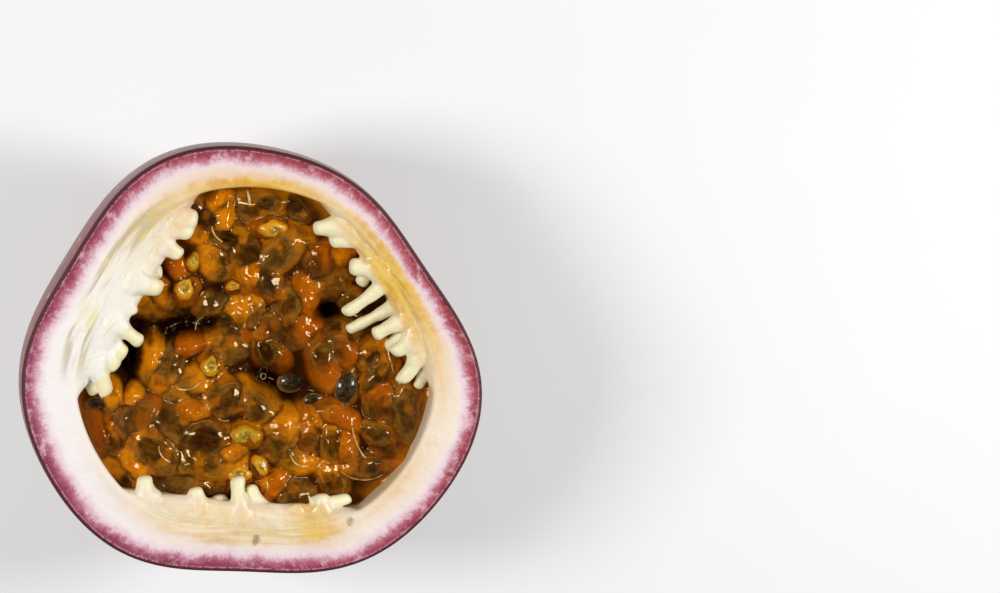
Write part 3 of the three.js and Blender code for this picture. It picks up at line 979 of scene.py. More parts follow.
@dataclass
class Rind:
    """Skin, pith and the hollow's wall, as one closed mesh."""

    form: FruitForm
    sides: int = 320
    skin_rings: int = 80
    cut_rings: int = 30
    roll_rings: int = 6
    wall_rings: int = 34
    roll: float = 0.7
    crumple: float = 0.1
    crumple_fade: float = 1.5
    speck_core: float = 9.0
    speck_stretch: float = 0.8

    def skin_section(self, angle: Array) -> tuple[Array, Array]:
        """The skin's rings, from the flat spot to the cut's edge.

        Args:
            angle: Directions of the sides.

        Returns:
            Their radius and height.
        """
        form = self.form
        ends = (form.equator_z, form.equator_z - form.cut_z + form.edge_chamfer)
        sweep = np.linspace(*(math.acos(end / form.half_length) for end in ends), self.skin_rings)
        z = form.equator_z - form.half_length * np.cos(sweep[:, None]) + 0 * angle
        return form.skin_radius(angle, z), z

    def cut_section(self, angle: Array) -> tuple[Array, Array]:
        """The cut face's rings, from its edge inwards.

        Args:
            angle: Directions of the sides.

        Returns:
            Their radius and height.
        """
        form, top = self.form, self.form.cut_z + 0 * angle
        outer = form.skin_radius(angle, top) - form.edge_chamfer
        inner = form.wall_radius(angle, top) + self.roll
        share = np.linspace(0, 1, self.cut_rings)[:, None] ** 1.25
        return outer + (inner - outer) * share, top + 0 * share

    def wall_section(self, angle: Array) -> tuple[Array, Array]:
        """The hollow's rings, over its rounded edge and down.

        Args:
            angle: Directions of the sides.

        Returns:
            Their radius and height.
        """
        form, roll = self.form, self.roll
        full = form.cut_z - form.floor_z()
        near = roll * (1 - np.cos(np.linspace(0, math.pi / 2, self.roll_rings + 1)[1:]))
        deep = roll + (full - roll - 0.05) * np.linspace(0, 1, self.wall_rings)[1:] ** 1.8
        depth = np.concatenate([near, deep])[:, None] + 0 * angle
        inside = np.clip(depth / roll, 0, 1)
        z = form.cut_z - depth
        return form.wall_radius(angle, z) + roll * (1 - np.sqrt(1 - (1 - inside) ** 2)), z

    def build(self) -> None:
        """Makes the rind, with what its finishes read stored on it."""
        form, angle = self.form, circle(self.sides)
        sections = (self.skin_section(angle), self.cut_section(angle), self.wall_section(angle))
        radius, height = np.concatenate(sections, axis=1)
        cut, roll = self.skin_rings, self.skin_rings + self.cut_rings
        wall = roll + self.roll_rings
        rings = polar(radius, angle, height)
        grain = 0.4 * perlin(rings, 1.6, Pattern.RIND_GRAIN)
        relief = self.crumple * (perlin(rings, 6.0, Pattern.RIND) + grain)
        on_cut = np.zeros_like(radius)
        on_cut[cut + 1 : roll] = 1
        on_cut[roll:wall] = np.linspace(1, 0, self.roll_rings + 1)[1:, None]
        rings[..., 2] += on_cut * (relief - self.crumple)
        on_wall = np.clip((form.cut_z - height - self.roll) / self.crumple_fade, 0, 1)
        on_wall[:wall] = 0
        rings -= (on_wall * relief)[..., None] * polar(1.0, angle, 0.0)
        middle = np.zeros(3)
        mesh = turned_mesh("rind", form, rings, middle, middle + [0, 0, form.floor_z()])
        store_flesh(mesh, form)
        strides = (np.diff(line, axis=0, prepend=0) for line in (radius, height))
        length = np.cumsum(np.hypot(*strides), axis=0)
        speck = polar(np.maximum(radius, self.speck_core), angle, self.speck_stretch * length)
        store(mesh, speck=np.vstack([middle, speck.reshape(-1, 3), middle]))
        for finish in (SkinFinish(), FleshFinish()):
            mesh.materials.append(finish.material())
        on_flesh = np.arange(len(mesh.polygons)) >= self.sides * self.skin_rings
        mesh.polygons.foreach_set("material_index", on_flesh.astype(np.int32))
        hand_in(linked("rind", mesh), Part.RIND)


# ---- Placentas ------------------------------------------------------------------


@dataclass(frozen=True)
class Funicle:
    """One peg: turn of its root, length, lean off straight inwards, depth and radius."""

    turn: float
    length: float
    lean: float
    depth: float
    radius: float


FUNICLES = tuple(
    Funicle(*row)
    for row in (
        (114, 2, 60, 1.5, 1), (117, 2.3, 35, 1.5, 0.9), (124, 2.7, 19, 1.6, 0.86), (136, 2.1, 48, 3.4, 0.8),
        (141, 3.4, 16, 1.5, 1.08), (150, 1.8, -35, 1.6, 0.6), (160, 4.2, -14, 1.5, 0.88),
        (169, 2.3, -21, 2.6, 0.95), (174, 2.1, -32, 2.2, 0.92), (178, 3.9, -58, 1.5, 0.94),
        (182, 2.4, -66, 3.3, 0.85), (58, 3.7, -50, 1.5, 1.02), (53, 2.9, -31, 1.6, 0.86),
        (39, 3.6, -41, 1.5, 1.1), (40, 3.2, 16, 3.2, 0.8), (33, 6.9, 12, 1.5, 0.84),
        (23, 7.4, 7, 3.3, 0.78), (18, 4.8, 10, 1.6, 0.9), (13, 3.8, 19, 3.3, 0.8), (11, 3.6, 34, 1.5, 0.92),
        (5, 4.6, 62, 1.6, 0.95), (-2, 2.3, 69, 3, 0.62), (229, 2.3, 49, 1.5, 0.86),
        (249, 2.4, 38, 1.6, 0.8), (257, 1.2, 30, 3, 0.8), (266, 4.5, 16, 1.5, 0.92),
        (273, 3, 14, 2.6, 0.86), (288, 0.9, -10, 1.6, 0.62), (297, 1.9, -26, 1.8, 0.82),
        (298, 3.8, -94, 2.2, 0.76),
    )
)


@dataclass
class Funicles:
    """The pegs that hold the arils, with the soft pads they grow from."""

    form: FruitForm
    root: float = 1.4
    droop: float = 0.12
    bend: float = 0.015
    curl: float = 0.045
    wave: tuple[float, float] = (0.06, 2.1)
    waist: float = 0.08
    oval: tuple[float, float] = (1.06, -0.94)
    tallest: float = 1.2
    sides: int = 24
    flare: float = 0.95
    spread: float = 1.1
    bluntness: float = 0.75
    lumps: float = 0.09
    pad_rings: int = 90
    pad_reach: float = 0.93
    pad_thickness: float = 0.75
    pad_back: tuple[float, float] = (1.6, 0.7)
    pad_lumps: float = 0.14
    pad_swell: float = 0.018
    voxel: float = 0.185
    smoothing: int = 7

    def peg(self, index: int) -> Mesh:
        """One blunt, slightly bent peg with a flared root.

        Args:
            index: Which row of the pegs.

        Returns:
            A closed mesh.
        """
        row, form = FUNICLES[index], self.form
        angle, heading = math.radians(row.turn), math.radians(row.turn + 180 + row.lean)
        along = np.array([math.cos(heading), math.sin(heading), 0.0])
        side = np.array([math.sin(heading), -math.cos(heading), 0.0])
        body = row.length - self.bluntness * row.radius
        steps = np.concatenate([[-self.root, -0.6], body * np.linspace(0, 1, 9)])
        widths = 1 + self.flare * np.exp(-np.maximum(steps, -0.4) / self.spread)
        widths += self.wave[0] * np.sin(steps * self.wave[1] + index)
        widths -= self.waist * np.sin(math.pi * np.clip(steps / row.length, 0, 1))
        turn = np.linspace(0, math.pi / 2, 6)[1:-1]
        steps = np.concatenate([steps, body + self.bluntness * row.radius * np.sin(turn)])[:, None]
        widths = np.concatenate([widths, widths[-1] * (1 - self.bluntness * (1 - np.cos(turn)))])
        widths, beyond = widths[:, None, None], np.maximum(0, steps)
        centres = along * steps + side * scatter(index, Draw.PEG_CURL, self.curl) * beyond**2
        centres[:, 2:] -= (self.droop + self.bend * beyond) * beyond
        around, (wide, tall) = circle(self.sides), self.oval
        level, upright = np.outer(np.cos(around), side * wide), np.outer(np.sin(around), [0, 0, tall])
        rings = centres[:, None] + (level * widths + upright * np.minimum(widths, self.tallest)) * row.radius
        z = form.cut_z - row.depth
        rings = rings + polar(form.wall_radius(angle, z), angle, z)
        middle = rings.mean(axis=1, keepdims=True)
        swollen = 1 + self.lumps * perlin(rings, 1.1, Pattern.PEGS) / row.radius
        rings = middle + (rings - middle) * swollen[..., None]
        return turned_mesh("peg", form, rings, rings[0].mean(axis=0), rings[-1].mean(axis=0) + along * 0.03)

    def pad(self, placenta: Placenta) -> Mesh:
        """The placenta's own tissue, a soft layer over the ridge of the wall.

        Args:
            placenta: Which ridge.

        Returns:
            A closed mesh.
        """
        form, count = self.form, self.pad_rings
        reach = np.linspace(-1, 1, count)[:, None] * self.pad_reach * placenta.reach
        turns = np.radians(placenta.turn + reach)
        down = np.concatenate([np.linspace(0.25, form.ridge_shelf, 9), np.linspace(3.0, 5.5, 5)])
        end = np.sin(math.pi * (np.arange(count)[:, None] + 0.5) / count) ** 0.5
        over = self.pad_thickness * (1.6 * end - 0.8) * smooth_step(0.2, 1.4, down)
        over = over - 0.25 * (1 - smooth_step(0.2, 1.0, down))
        z = form.cut_z - down + 0 * turns
        wall, (outwards, under) = form.wall_radius(turns, z), self.pad_back
        radius = np.hstack([wall - 1.3 * over, (wall + outwards)[:, ::-1]])
        rings = polar(radius, turns, np.hstack([z + 0.6 * over, (z - under)[:, ::-1]]))
        rings[..., 2] += self.pad_lumps * perlin(rings, 1.8, Pattern.PAD_LUMPS)
        rings[..., :2] *= (1 + self.pad_swell * perlin(rings, 2.6, Pattern.PAD_SWELL))[..., None]
        return turned_mesh("pad", form, rings, rings[0].mean(axis=0), rings[-1].mean(axis=0))

    def fuse(self, piece: Object) -> None:
        """Makes overlapping closed shapes one skin, with soft inner corners.

        Args:
            piece: The object that holds the shapes.
        """
        remesh = piece.modifiers.new("fuse", "REMESH")
        remesh.mode = "VOXEL"
        remesh.voxel_size = self.voxel * MM
        remesh.use_smooth_shade = True
        smooth = piece.modifiers.new("soften", "SMOOTH")
        smooth.factor = 0.5
        smooth.iterations = self.smoothing
        freeze(piece)

    def build(self) -> None:
        """Joins pads and pegs into one soft-edged mesh."""
        parts = [self.pad(placenta) for placenta in self.form.placentas]
        parts += [self.peg(index) for index in range(len(FUNICLES))]
        piece = linked("funicles", joined_mesh("funicles", parts))
        self.fuse(piece)
        store_flesh(piece.data, self.form)
        piece.data.materials.clear()
        piece.data.materials.append(FleshFinish("placenta", 0.45, 0.4).material())
        hand_in(piece, Part.RIND)


# ---- Pulp -----------------------------------------------------------------------


@dataclass(frozen=True)
class Aril:
    """One ripe aril.

    Its place on the bed, half its length and width, the turn of its length, how much
    orange membrane covers it from that end (0 to 1), and how pale its seed looks.
    """

    x: float
    y: float
    half_length: float
    half_width: float
    turn: float
    cover: float
    pale: float


ARILS = tuple(
    Aril(*row)
    for row in (
        (-3.7, 21.3, 1.9, 1.5, 60, 1, 0.8), (-7.2, 21, 1.9, 1.3, 120, 0.2, 0.3),
        (-5.2, 19.6, 1.9, 1.3, 150, 0.25, 0.4), (-3.3, 19.6, 1.7, 1.1, 80, 0.9, 0.6),
        (-6.3, 17.5, 1.8, 1.3, 160, 1, 0.6), (-2.3, 17.4, 2.9, 2.2, 180, 0.15, 0),
        (-0.1, 15.1, 2.5, 1.9, 135, 0.1, 0.1), (-3.8, 13.5, 2.8, 2, 165, 0.5, 0.5),
        (-9.2, 12.9, 2.2, 1.2, 120, 0.9, 0.6), (-4.5, 8.8, 2.2, 1.9, 240, 0.2, 0.7),
        (-0.8, 8.6, 3.1, 1.7, 80, 0.9, 0.6), (0.6, 12.9, 1.9, 1.1, 70, 1, 0.6),
        (-11, 9.8, 2.3, 1.6, 140, 0.8, 0.6), (-9, 7.6, 2.1, 1.4, 170, 0.4, 0.3),
        (-13.7, 8, 2.5, 1.5, 125, 0.7, 0.4), (-12, 5.6, 2, 1.3, 20, 0.1, 0.1),
        (-5.4, 5.6, 2, 1.2, 20, 0.1, 0), (-2.2, 2.6, 2.9, 2.1, 165, 0.35, 0.8),
        (-1.6, 5.6, 2.2, 1.4, 10, 0.5, 0.4), (1.2, 21.2, 3, 1.6, 0, 0.1, 0.3),
        (6, 21, 2.2, 1.3, 140, 0.3, 0.4), (4.2, 15.4, 3.2, 2, 35, 0.3, 0.6),
        (7.6, 17.2, 1.9, 1.5, 45, 1, 0.8), (9, 14, 2.7, 1.8, 50, 0.6, 0.4),
        (12.1, 15, 1.6, 1.2, 20, 0.9, 0.6), (11.3, 10.9, 3.2, 2.4, 40, 0.45, 0.5),
        (2.6, 11.2, 2.2, 1.4, 300, 0.3, 0.4), (4.9, 8.2, 2.3, 1.8, 270, 0.3, 0.3),
        (0.9, 7.8, 2.2, 1, 85, 0.5, 0.4), (7.3, 10.6, 2.6, 1.2, 285, 0.9, 0.6),
        (7, 4.6, 3, 2.4, 20, 0.65, 0.5), (3.3, 5, 2.5, 1.7, 190, 0.4, 0.5),
        (13.6, 8.9, 1.6, 1.1, 30, 0.3, 0.3), (12, 4.2, 2.6, 1.5, 10, 0.3, 0.2),
        (2.5, 2.4, 2.1, 1.5, 120, 0.05, 0), (9.9, 0.1, 2.9, 1.5, 285, 0.6, 0.4),
        (12.7, 2, 2.3, 1.7, 320, 0.6, 0.5), (15.9, 1.7, 2, 1.4, 60, 0.2, 0.1),
        (17.6, 3, 1.6, 1.1, 60, 1, 0.6), (19.4, -0.6, 2.2, 1.2, 110, 0.9, 0.6),
        (17.3, -5, 3, 2.1, 100, 0.5, 0.4), (20.8, -6.4, 3.7, 1.6, 95, 0.15, 0.8),
        (17.3, -0.8, 2.5, 1.1, 50, 0.4, 0.3), (16.6, -8.9, 1.9, 1.2, 330, 0.1, 0.5),
        (18.2, -11.3, 2.4, 1.4, 325, 0.5, 0.5), (15.6, -13.4, 2.7, 1.3, 180, 0.3, 0.5),
        (12.6, -10.2, 2.2, 1.5, 110, 0.9, 0.6), (12.3, -6.9, 2.4, 1.2, 330, 1, 0.6),
        (10.7, -9.8, 2.2, 1.2, 90, 0.4, 0.2), (3.9, -9.2, 3, 2.4, 60, 0.5, 0.5),
        (7.8, -9.2, 3, 1.6, 95, 0.5, 0.5), (9, -6.6, 1.7, 1.1, 110, 1, 0.6),
        (6.2, -12.4, 2.3, 1.3, 335, 0.6, 0.4), (6.5, -17, 2.5, 2.3, 270, 0.35, 0.7),
        (11, -14.7, 2.4, 1.4, 120, 0.5, 0.2), (2.9, -15.2, 2.2, 1.5, 30, 0.9, 0.6),
        (-12.8, 1, 2.2, 1.1, 85, 0.8, 0.5), (-9.8, 0.6, 3.2, 2.5, 250, 0.35, 0.7),
        (-8.2, 3, 2, 1.1, 15, 1, 0.6), (-7.6, -2.9, 2.8, 1.6, 25, 0.5, 0.5),
        (-7.6, -5.4, 1.9, 1.1, 0, 1, 0.6), (-2.9, -4.3, 3.3, 2.2, 0, 0.2, 0.4),
        (-11.1, -6.3, 1.5, 0.9, 60, 0.1, 0.9), (-9.5, -7, 2.4, 1.8, 130, 0.2, 0.5),
        (-13.9, -5.9, 2.8, 1.8, 30, 0.3, 0.7), (-14.9, -3.7, 1.6, 0.9, 85, 1, 0.6),
        (-12.7, -10.2, 3.7, 2.4, 130, 0.35, 0.4), (-14.4, -12.9, 1.8, 1.1, 140, 0.9, 0.6),
        (-5.6, -8.9, 3.1, 2, 0, 0.1, 0), (-6, -12, 3.4, 1.7, 355, 0.3, 0.3),
        (-9.6, -15, 2.9, 1.8, 200, 0.15, 0.8), (-4.8, -15.3, 1.7, 1.1, 170, 0.1, 0.6),
        (-2.6, -11, 1.6, 1, 30, 0.9, 0.6), (-19.3, -7.8, 2.7, 1.4, 110, 0.9, 0.6),
        (-17.6, -8.2, 2.8, 1.2, 95, 0.6, 0.4), (-16.8, -13.3, 2.5, 1.2, 125, 0.6, 0.4),
        (-17.2, -3.6, 2, 1.4, 100, 0.7, 0.3), (0.9, -5.2, 2.6, 1.6, 135, 0.3, 0.5),
    )
)
# Young arils: place on the bed, half length, half width and turn.
YOUNG_ARILS = (
    (-8.2, 10.5, 1.6, 1.45, 80), (3.1, 18.3, 2, 1.4, -5), (-4.9, 0.3, 1.5, 1.35, 70),
    (-0.5, -8.6, 2.1, 1.4, -5), (1.3, -12.7, 1.5, 1.1, -60), (-1.5, -13.8, 1.9, 1.2, -5),
    (-7.1, 14, 1.3, 0.9, 80), (-2, 10.7, 0.9, 0.8, 0),
)
# Bare seeds: the same, and how far each one is lifted.
BARE_SEEDS = (
    (6.2, -2.1, 2.2, 1.6, 20, -0.9), (12.9, -2.8, 2.6, 1.6, 80, 0), (8.6, -4.4, 1.4, 0.9, 10, -0.3),
    (-19.6, -4.2, 1.3, 0.8, 5, 0),
)
# Threads: start, a point that each one bends towards, end and radius. The third, along the wall by the
# juice, stands for the meniscus's bright line, a painted highlight.
THREADS = (
    ((18.1, 4.3), (18.2, 1.8), (19.1, -0.7), 0.13), ((13.5, -7.8), (14.1, -10.6), (15.5, -12.2), 0.12),
    ((12.2, -13.8), (15.4, -16.6), (18.7, -13.7), 0.1), ((-0.1, 23.2), (0.2, 22.0), (0.0, 21.3), 0.18),
    ((-4.8, 18.6), (-4.6, 17.2), (-3.4, 16.6), 0.11), ((-5.6, 6.7), (-6.4, 5.8), (-6.6, 4.7), 0.09),
    ((5.4, -11.3), (5.9, -13.2), (7.9, -13.0), 0.11), ((-11.8, -9.7), (-11.8, -11.2), (-10.3, -11.9), 0.11),
    ((2.3, -14.7), (2.7, -15.7), (2.1, -16.6), 0.09), ((-9.2, -2.4), (-7.6, -2.9), (-6.3, -1.5), 0.1),
)
# Bubble: its place, the size of its ring, and how thin that is. Only the ring is drawn, in pale amber,
# partly a painted highlight.
BUBBLE = (2.4, -1.6, 0.36, 0.06)


@dataclass(frozen=True)
class Pip:
    """One oval thing in the pulp: its place, half sizes and turns, and how it looks."""

    place: Triple
    axes: Triple
    turns: Triple
    cover: float = 0.0
    pale: float = 0.0
    hue: float = 0.5

    def spin(self) -> Matrix:
        """How the pip is turned."""
        pitch, roll, turn = self.turns
        return Matrix.Rotation(turn, 4, "Z") @ Matrix.Rotation(roll, 4, "X") @ Matrix.Rotation(pitch, 4, "Y")


@dataclass
class PulpLayout:
    """Where arils, young arils and seeds lie."""

    form: FruitForm
    thickness: float = 0.88
    top: float = 2.0
    top_variation: float = 0.45
    tilt: float = 14.0
    least_half_height: float = 1.3
    plump: float = 1.22
    young_thickness: float = 0.95
    young_top: float = 2.6
    young_tilt: float = 0.25
    bare_thickness: float = 0.62
    bare_top: float = 1.5
    seed_share: float = 0.62
    largest_seed: tuple[float, float] = (2.6, 1.75)
    seed_variation: float = 0.08
    seed_turn: float = 0.35
    seed_push: float = -0.28

    def bed_z(self, x: float, y: float) -> float:
        """Height of the bed at a place."""
        return float(self.form.bed_height(np.array(x), np.array(y)))

    def ripe(self) -> list[Pip]:
        """The ripe arils, whose tops lie nearly level above the bed.

        Returns:
            One pip for each.
        """
        made = []
        for i, row in enumerate(ARILS):
            height = max(row.half_width * self.thickness, self.least_half_height)
            top = self.top + scatter(i, Draw.ARIL_TOP, self.top_variation)
            place = (row.x, row.y, self.bed_z(row.x, row.y) + top - height)
            axes = (row.half_length * self.plump, row.half_width * self.plump, height)
            tilts = (scatter(i, stream, self.tilt) for stream in (Draw.ARIL_PITCH, Draw.ARIL_ROLL))
            turns = tuple(math.radians(angle) for angle in (*tilts, row.turn))
            made.append(Pip(place, axes, turns, row.cover, row.pale, chance(i, Draw.ARIL_HUE)))
        return made

    def young(self) -> list[Pip]:
        """The small, round, unripe arils.

        Returns:
            One pip for each.
        """
        made = []
        for i, (x, y, length, width, turn) in enumerate(YOUNG_ARILS):
            height = max(width * self.young_thickness, self.least_half_height)
            place = (x, y, self.bed_z(x, y) + self.young_top - height)
            tilts = (scatter(i, stream, self.young_tilt) for stream in (Draw.YOUNG_PITCH, Draw.YOUNG_ROLL))
            turns = (*tilts, math.radians(turn))
            made.append(Pip(place, (length, width, height), turns, hue=chance(i, Draw.YOUNG_HUE)))
        return made

    def bare(self) -> list[Pip]:
        """Seeds that lie bare on the pulp.

        Returns:
            One pip for each.
        """
        made = []
        for x, y, length, width, turn, lift in BARE_SEEDS:
            height = width * self.bare_thickness
            place = (x, y, self.bed_z(x, y) + self.bare_top - height + lift)
            made.append(Pip(place, (length, width, height), (0.0, 0.0, math.radians(turn))))
        return made

    def seeds(self) -> list[Pip]:
        """Outline of the seed in each ripe aril, pushed away from its covered end.

        Returns:
            One level pip for each, whose height says nothing.
        """
        made = []
        for i, pip in enumerate(self.ripe()):
            back = pip.spin() @ Vector((self.seed_push * pip.cover * pip.axes[0], 0.0, 0.0))
            x, y, _ = Vector(pip.place) + back
            streams = (Draw.SEED_LENGTH, Draw.SEED_WIDTH)
            length, width = (
                min(most, self.seed_share * axis) * (1 + scatter(i, stream, self.seed_variation))
                for most, axis, stream in zip(self.largest_seed, pip.axes, streams)
            )
            turn = pip.turns[2] + scatter(i, Draw.SEED_TURN, self.seed_turn)
            made.append(Pip((x, y, 0.0), (length, width, 1.0), (0.0, 0.0, turn)))
        return made


class Scatter:
    """A Geometry Nodes tree that sets one shape on many points."""

    SOCKETS = {"Geometry": "Geometry", "Shape": "Object", "Size factor": "Float", "Material": "Material"}
    NODES = {
        "entry": "NodeGroupInput",
        "shape": "GeometryNodeObjectInfo",
        "turn": "GeometryNodeInputNamedAttribute",
        "size": "GeometryNodeInputNamedAttribute",
        "grown": "ShaderNodeVectorMath",
        "spin": "FunctionNodeEulerToRotation",
        "copies": "GeometryNodeInstanceOnPoints",
        "real": "GeometryNodeRealizeInstances",
        "dressed": "GeometryNodeSetMaterial",
        "end": "NodeGroupOutput",
    }
    LINKS = (
        ("entry", "Shape", "shape", "Object"),
        ("size", "Attribute", "grown", 0),
        ("entry", "Size factor", "grown", "Scale"),
        ("turn", "Attribute", "spin", "Euler"),
        ("entry", "Geometry", "copies", "Points"),
        ("shape", "Geometry", "copies", "Instance"),
        ("spin", "Rotation", "copies", "Rotation"),
        ("grown", 0, "copies", "Scale"),
        ("copies", "Instances", "real", "Geometry"),
        ("real", "Geometry", "dressed", "Geometry"),
        ("entry", "Material", "dressed", "Material"),
        ("dressed", "Geometry", "end", "Geometry"),
    )

    def __init__(self, name: str) -> None:
        """Builds the tree: points with turn and size, a shape, and a material.

        Args:
            name: The tree's name.
        """
        self.tree = bpy.data.node_groups.new(name, "GeometryNodeTree")
        for label, kind in self.SOCKETS.items():
            self.tree.interface.new_socket(label, in_out="INPUT", socket_type="NodeSocket" + kind)
        self.tree.interface.new_socket("Geometry", in_out="OUTPUT", socket_type="NodeSocketGeometry")
        nodes = {label: self.tree.nodes.new(kind) for label, kind in self.NODES.items()}
        nodes["grown"].operation = "SCALE"
        for stored in ("turn", "size"):
            nodes[stored].data_type = "FLOAT_VECTOR"
            nodes[stored].inputs["Name"].default_value = stored
        for source, output, target, entry in self.LINKS:
            self.tree.links.new(nodes[source].outputs[output], nodes[target].inputs[entry])

    def spread(
        self, name: str, pips: Sequence[Pip], form: FruitForm, shape: Mesh, material: Material
    ) -> Object:
        """Sets a shape on every pip.

        Args:
            name: The new object's name.
            pips: Where the copies go, and how each one looks.
            form: The fruit's form, for its place in the frame.
            shape: A mesh of radius 1.
            material: What the copies are made of.

        Returns:
            An object with a plain mesh of all copies, which keeps the pips' hues.
        """
        points = bpy.data.meshes.new(name)
        points.from_pydata(to_frame(np.array([pip.place for pip in pips]), form).tolist(), [], [])
        turns = np.array([pip.spin().to_euler()[:] for pip in pips])
        sizes = np.array([pip.axes for pip in pips]) * MM
        store(points, turn=turns, size=sizes, hue=np.array([pip.hue for pip in pips]))
        piece, source = linked(name, points), linked(name + "_shape", shape)
        modifier = piece.modifiers.new("spread", "NODES")
        modifier.node_group = self.tree
        values = {"Shape": source, "Size factor": 1.0, "Material": material}
        for item in self.tree.interface.items_tree:
            if item.in_out == "INPUT" and item.name in values:
                modifier[item.identifier] = values[item.name]
        freeze(piece)
        bpy.data.objects.remove(source)
        return piece


@dataclass
class Heap:
    """The pulp's top: sacs that run softly into one another, with juice between them."""

    form: FruitForm
    layout: PulpLayout
    softness: float = 0.3
    shoulder: float = 0.9
    juice_lift: float = 0.3
    juice_wave: tuple[float, float] = (3.0, 0.35)
    sways: tuple[tuple[float, float], ...] = ((2.6, 0.6), (0.9, 0.16))
    ripples: tuple[Triple, ...] = ((1.7, 0.3, 0.7), (0.8, 0.17, 0.15))
    sunk_real: float = 0.3
    no_seed: float = 9.0
    dips: tuple[Swell, ...] = (
        Swell(10.9, 7.2, 1.8, 1.4, -2.8),
        Swell(-15.0, 2.2, 1.7, 3.2, -3.2),
        Swell(-11.0, 5.2, 3.2, 1.3, -1.6),
        Swell(-5.6, 5.6, 3.0, 1.0, -1.9),
        Swell(2.4, -1.2, 2.2, 1.9, -2.8),
        Swell(6.6, -3.4, 3.0, 1.5, -1.5),
    )

    def swayed(self, x: Array, y: Array) -> tuple[Array, Array]:
        """Bends places out of true, so that no sac is a plain oval.

        Args:
            x: Places from the axis in mm.
            y: The same.

        Returns:
            The bent places.
        """
        points = columns(x, y, 0 * x)
        for feature, size in self.sways:
            x = x + size * perlin(points, feature, Pattern.SWAY_X)
            y = y + size * perlin(points, feature, Pattern.SWAY_Y)
        return x, y

    def dome(self, pip: Pip, x: Array, y: Array) -> tuple[Array, Array, Array]:
        """A sac's top at each place.

        Args:
            pip: The sac.
            x: Places from the axis in mm.
            y: The same.

        Returns:
            Its height, and the place along and across it in half lengths and widths.
        """
        pitch, roll, turn = pip.turns
        dx, dy = x - pip.place[0], y - pip.place[1]
        ahead = dx * math.cos(turn) + dy * math.sin(turn)
        aside = dy * math.cos(turn) - dx * math.sin(turn)
        along, across = ahead / pip.axes[0], aside / pip.axes[1]
        far = np.hypot(along, across)
        near = np.minimum(far, self.shoulder)
        slope = self.shoulder / math.sqrt(1 - self.shoulder**2)
        rise = np.sqrt(1 - near**2) - slope * (far - near)
        height = pip.place[2] + pip.axes[2] * rise - ahead * math.tan(pitch) + aside * math.tan(roll)
        return height, along, across

    def survey(self, x: Array, y: Array) -> tuple[Array, dict[str, Array]]:
        """Height of the top at each place, and what its finish reads there.

        Args:
            x: Places from the axis in mm, as one row.
            y: The same.

        Returns:
            The heights and, by attribute, rows of three numbers.
        """
        pips = self.layout.ripe() + self.layout.bare() + self.layout.young()
        seeds = self.layout.seeds()
        looks = np.array([(pip.cover, pip.pale, pip.hue) for pip in pips])
        points, (sx, sy) = columns(x, y, 0 * x), self.swayed(x, y)
        heights, along, across = np.array([self.dome(pip, sx, sy) for pip in pips]).swapaxes(0, 1)
        heights[len(seeds) :] -= self.sunk_real
        level, (feature, size) = self.form.bed_height(x, y), self.juice_wave
        juice = level + self.juice_lift + size * perlin(points, feature, Pattern.JUICE)
        stack = np.vstack([heights, juice])
        for dip in self.dips:
            stack += dip.lift(x, y)
        second, best = np.partition(stack, -2, axis=0)[-2:]
        weights = np.exp((stack - best) / self.softness)
        total = weights.sum(axis=0)
        top = best + self.softness * np.log(total)
        loose = smooth_step(-0.5, 0.6, along + looks[:, :1] * 2.4 - 1.35)
        loose = (weights[:-1] * loose).sum(axis=0) / total
        for feature, size, held in self.ripples:
            top += size * perlin(points, feature, Pattern.RIPPLES) * (held + (1 - held) * loose)
        off = np.full_like(heights, self.no_seed)
        for i, seed in enumerate(seeds):
            off[i] = np.hypot(*self.dome(seed, sx, sy)[1:])
        owner = np.argmax(heights, axis=0)
        own = columns(*(values[owner, np.arange(len(x))] for values in (along, across, off)))
        # What the painted fold shade reads: the gap between the two highest sacs, how far the top sinks, and
        # the share of juice.
        fold = columns(best - second, level + self.layout.top - top, weights[-1])
        return top, {"own": own, "look": looks[owner], "fold": fold}

    def height(self, x: Array, y: Array) -> Array:
        """Height of the top at each place."""
        return self.survey(x.ravel(), y.ravel())[0].reshape(x.shape)


BALL_LEVEL = 4


def ball_mesh() -> Mesh:
    """A ball of radius 1 on which each vertex keeps its own place.

    Returns:
        A divided icosahedron.
    """
    ball = bmesh.new()
    bmesh.ops.create_icosphere(ball, subdivisions=BALL_LEVEL, radius=1.0)
    mesh = bpy.data.meshes.new("ball")
    ball.to_mesh(mesh)
    ball.free()
    store(mesh, own=vertex_places(mesh))
    return mesh


def seed_mesh() -> Mesh:
    """A flattened oval seed, pointed at one end, with a pitted coat.

    Returns:
        A mesh of radius 1.
    """
    mesh = ball_mesh()
    co = vertex_places(mesh)
    pits = perlin(co * 2.0, 0.34, Pattern.SEED_PITS)
    co[:, 1:] *= 1 - 0.22 * smooth_step(0.1, 1.0, co[:, :1])
    co *= (1 - 0.02 * np.maximum(0, pits))[:, None]
    mesh.vertices.foreach_set("co", co.ravel())
    return mesh


def young_mesh() -> Mesh:
    """A lumpy ball with a dimple, and how near that dimple each point is.

    Returns:
        A mesh of radius 1.
    """
    mesh = ball_mesh()
    co = vertex_places(mesh)
    off = np.hypot(co[:, 0] - 0.1, co[:, 1] * 1.1)
    dimple = (1 - smooth_step(0.15, 0.75, off)) * (co[:, 2] > 0)
    lumps = 0.16 * perlin(co, 0.9, Pattern.YOUNG_LUMPS) + 0.05 * perlin(co, 0.35, Pattern.YOUNG_GRAIN)
    co *= (1 + lumps - 0.1 * dimple)[:, None]
    mesh.vertices.foreach_set("co", co.ravel())
    store(mesh, tip=dimple)
    return mesh


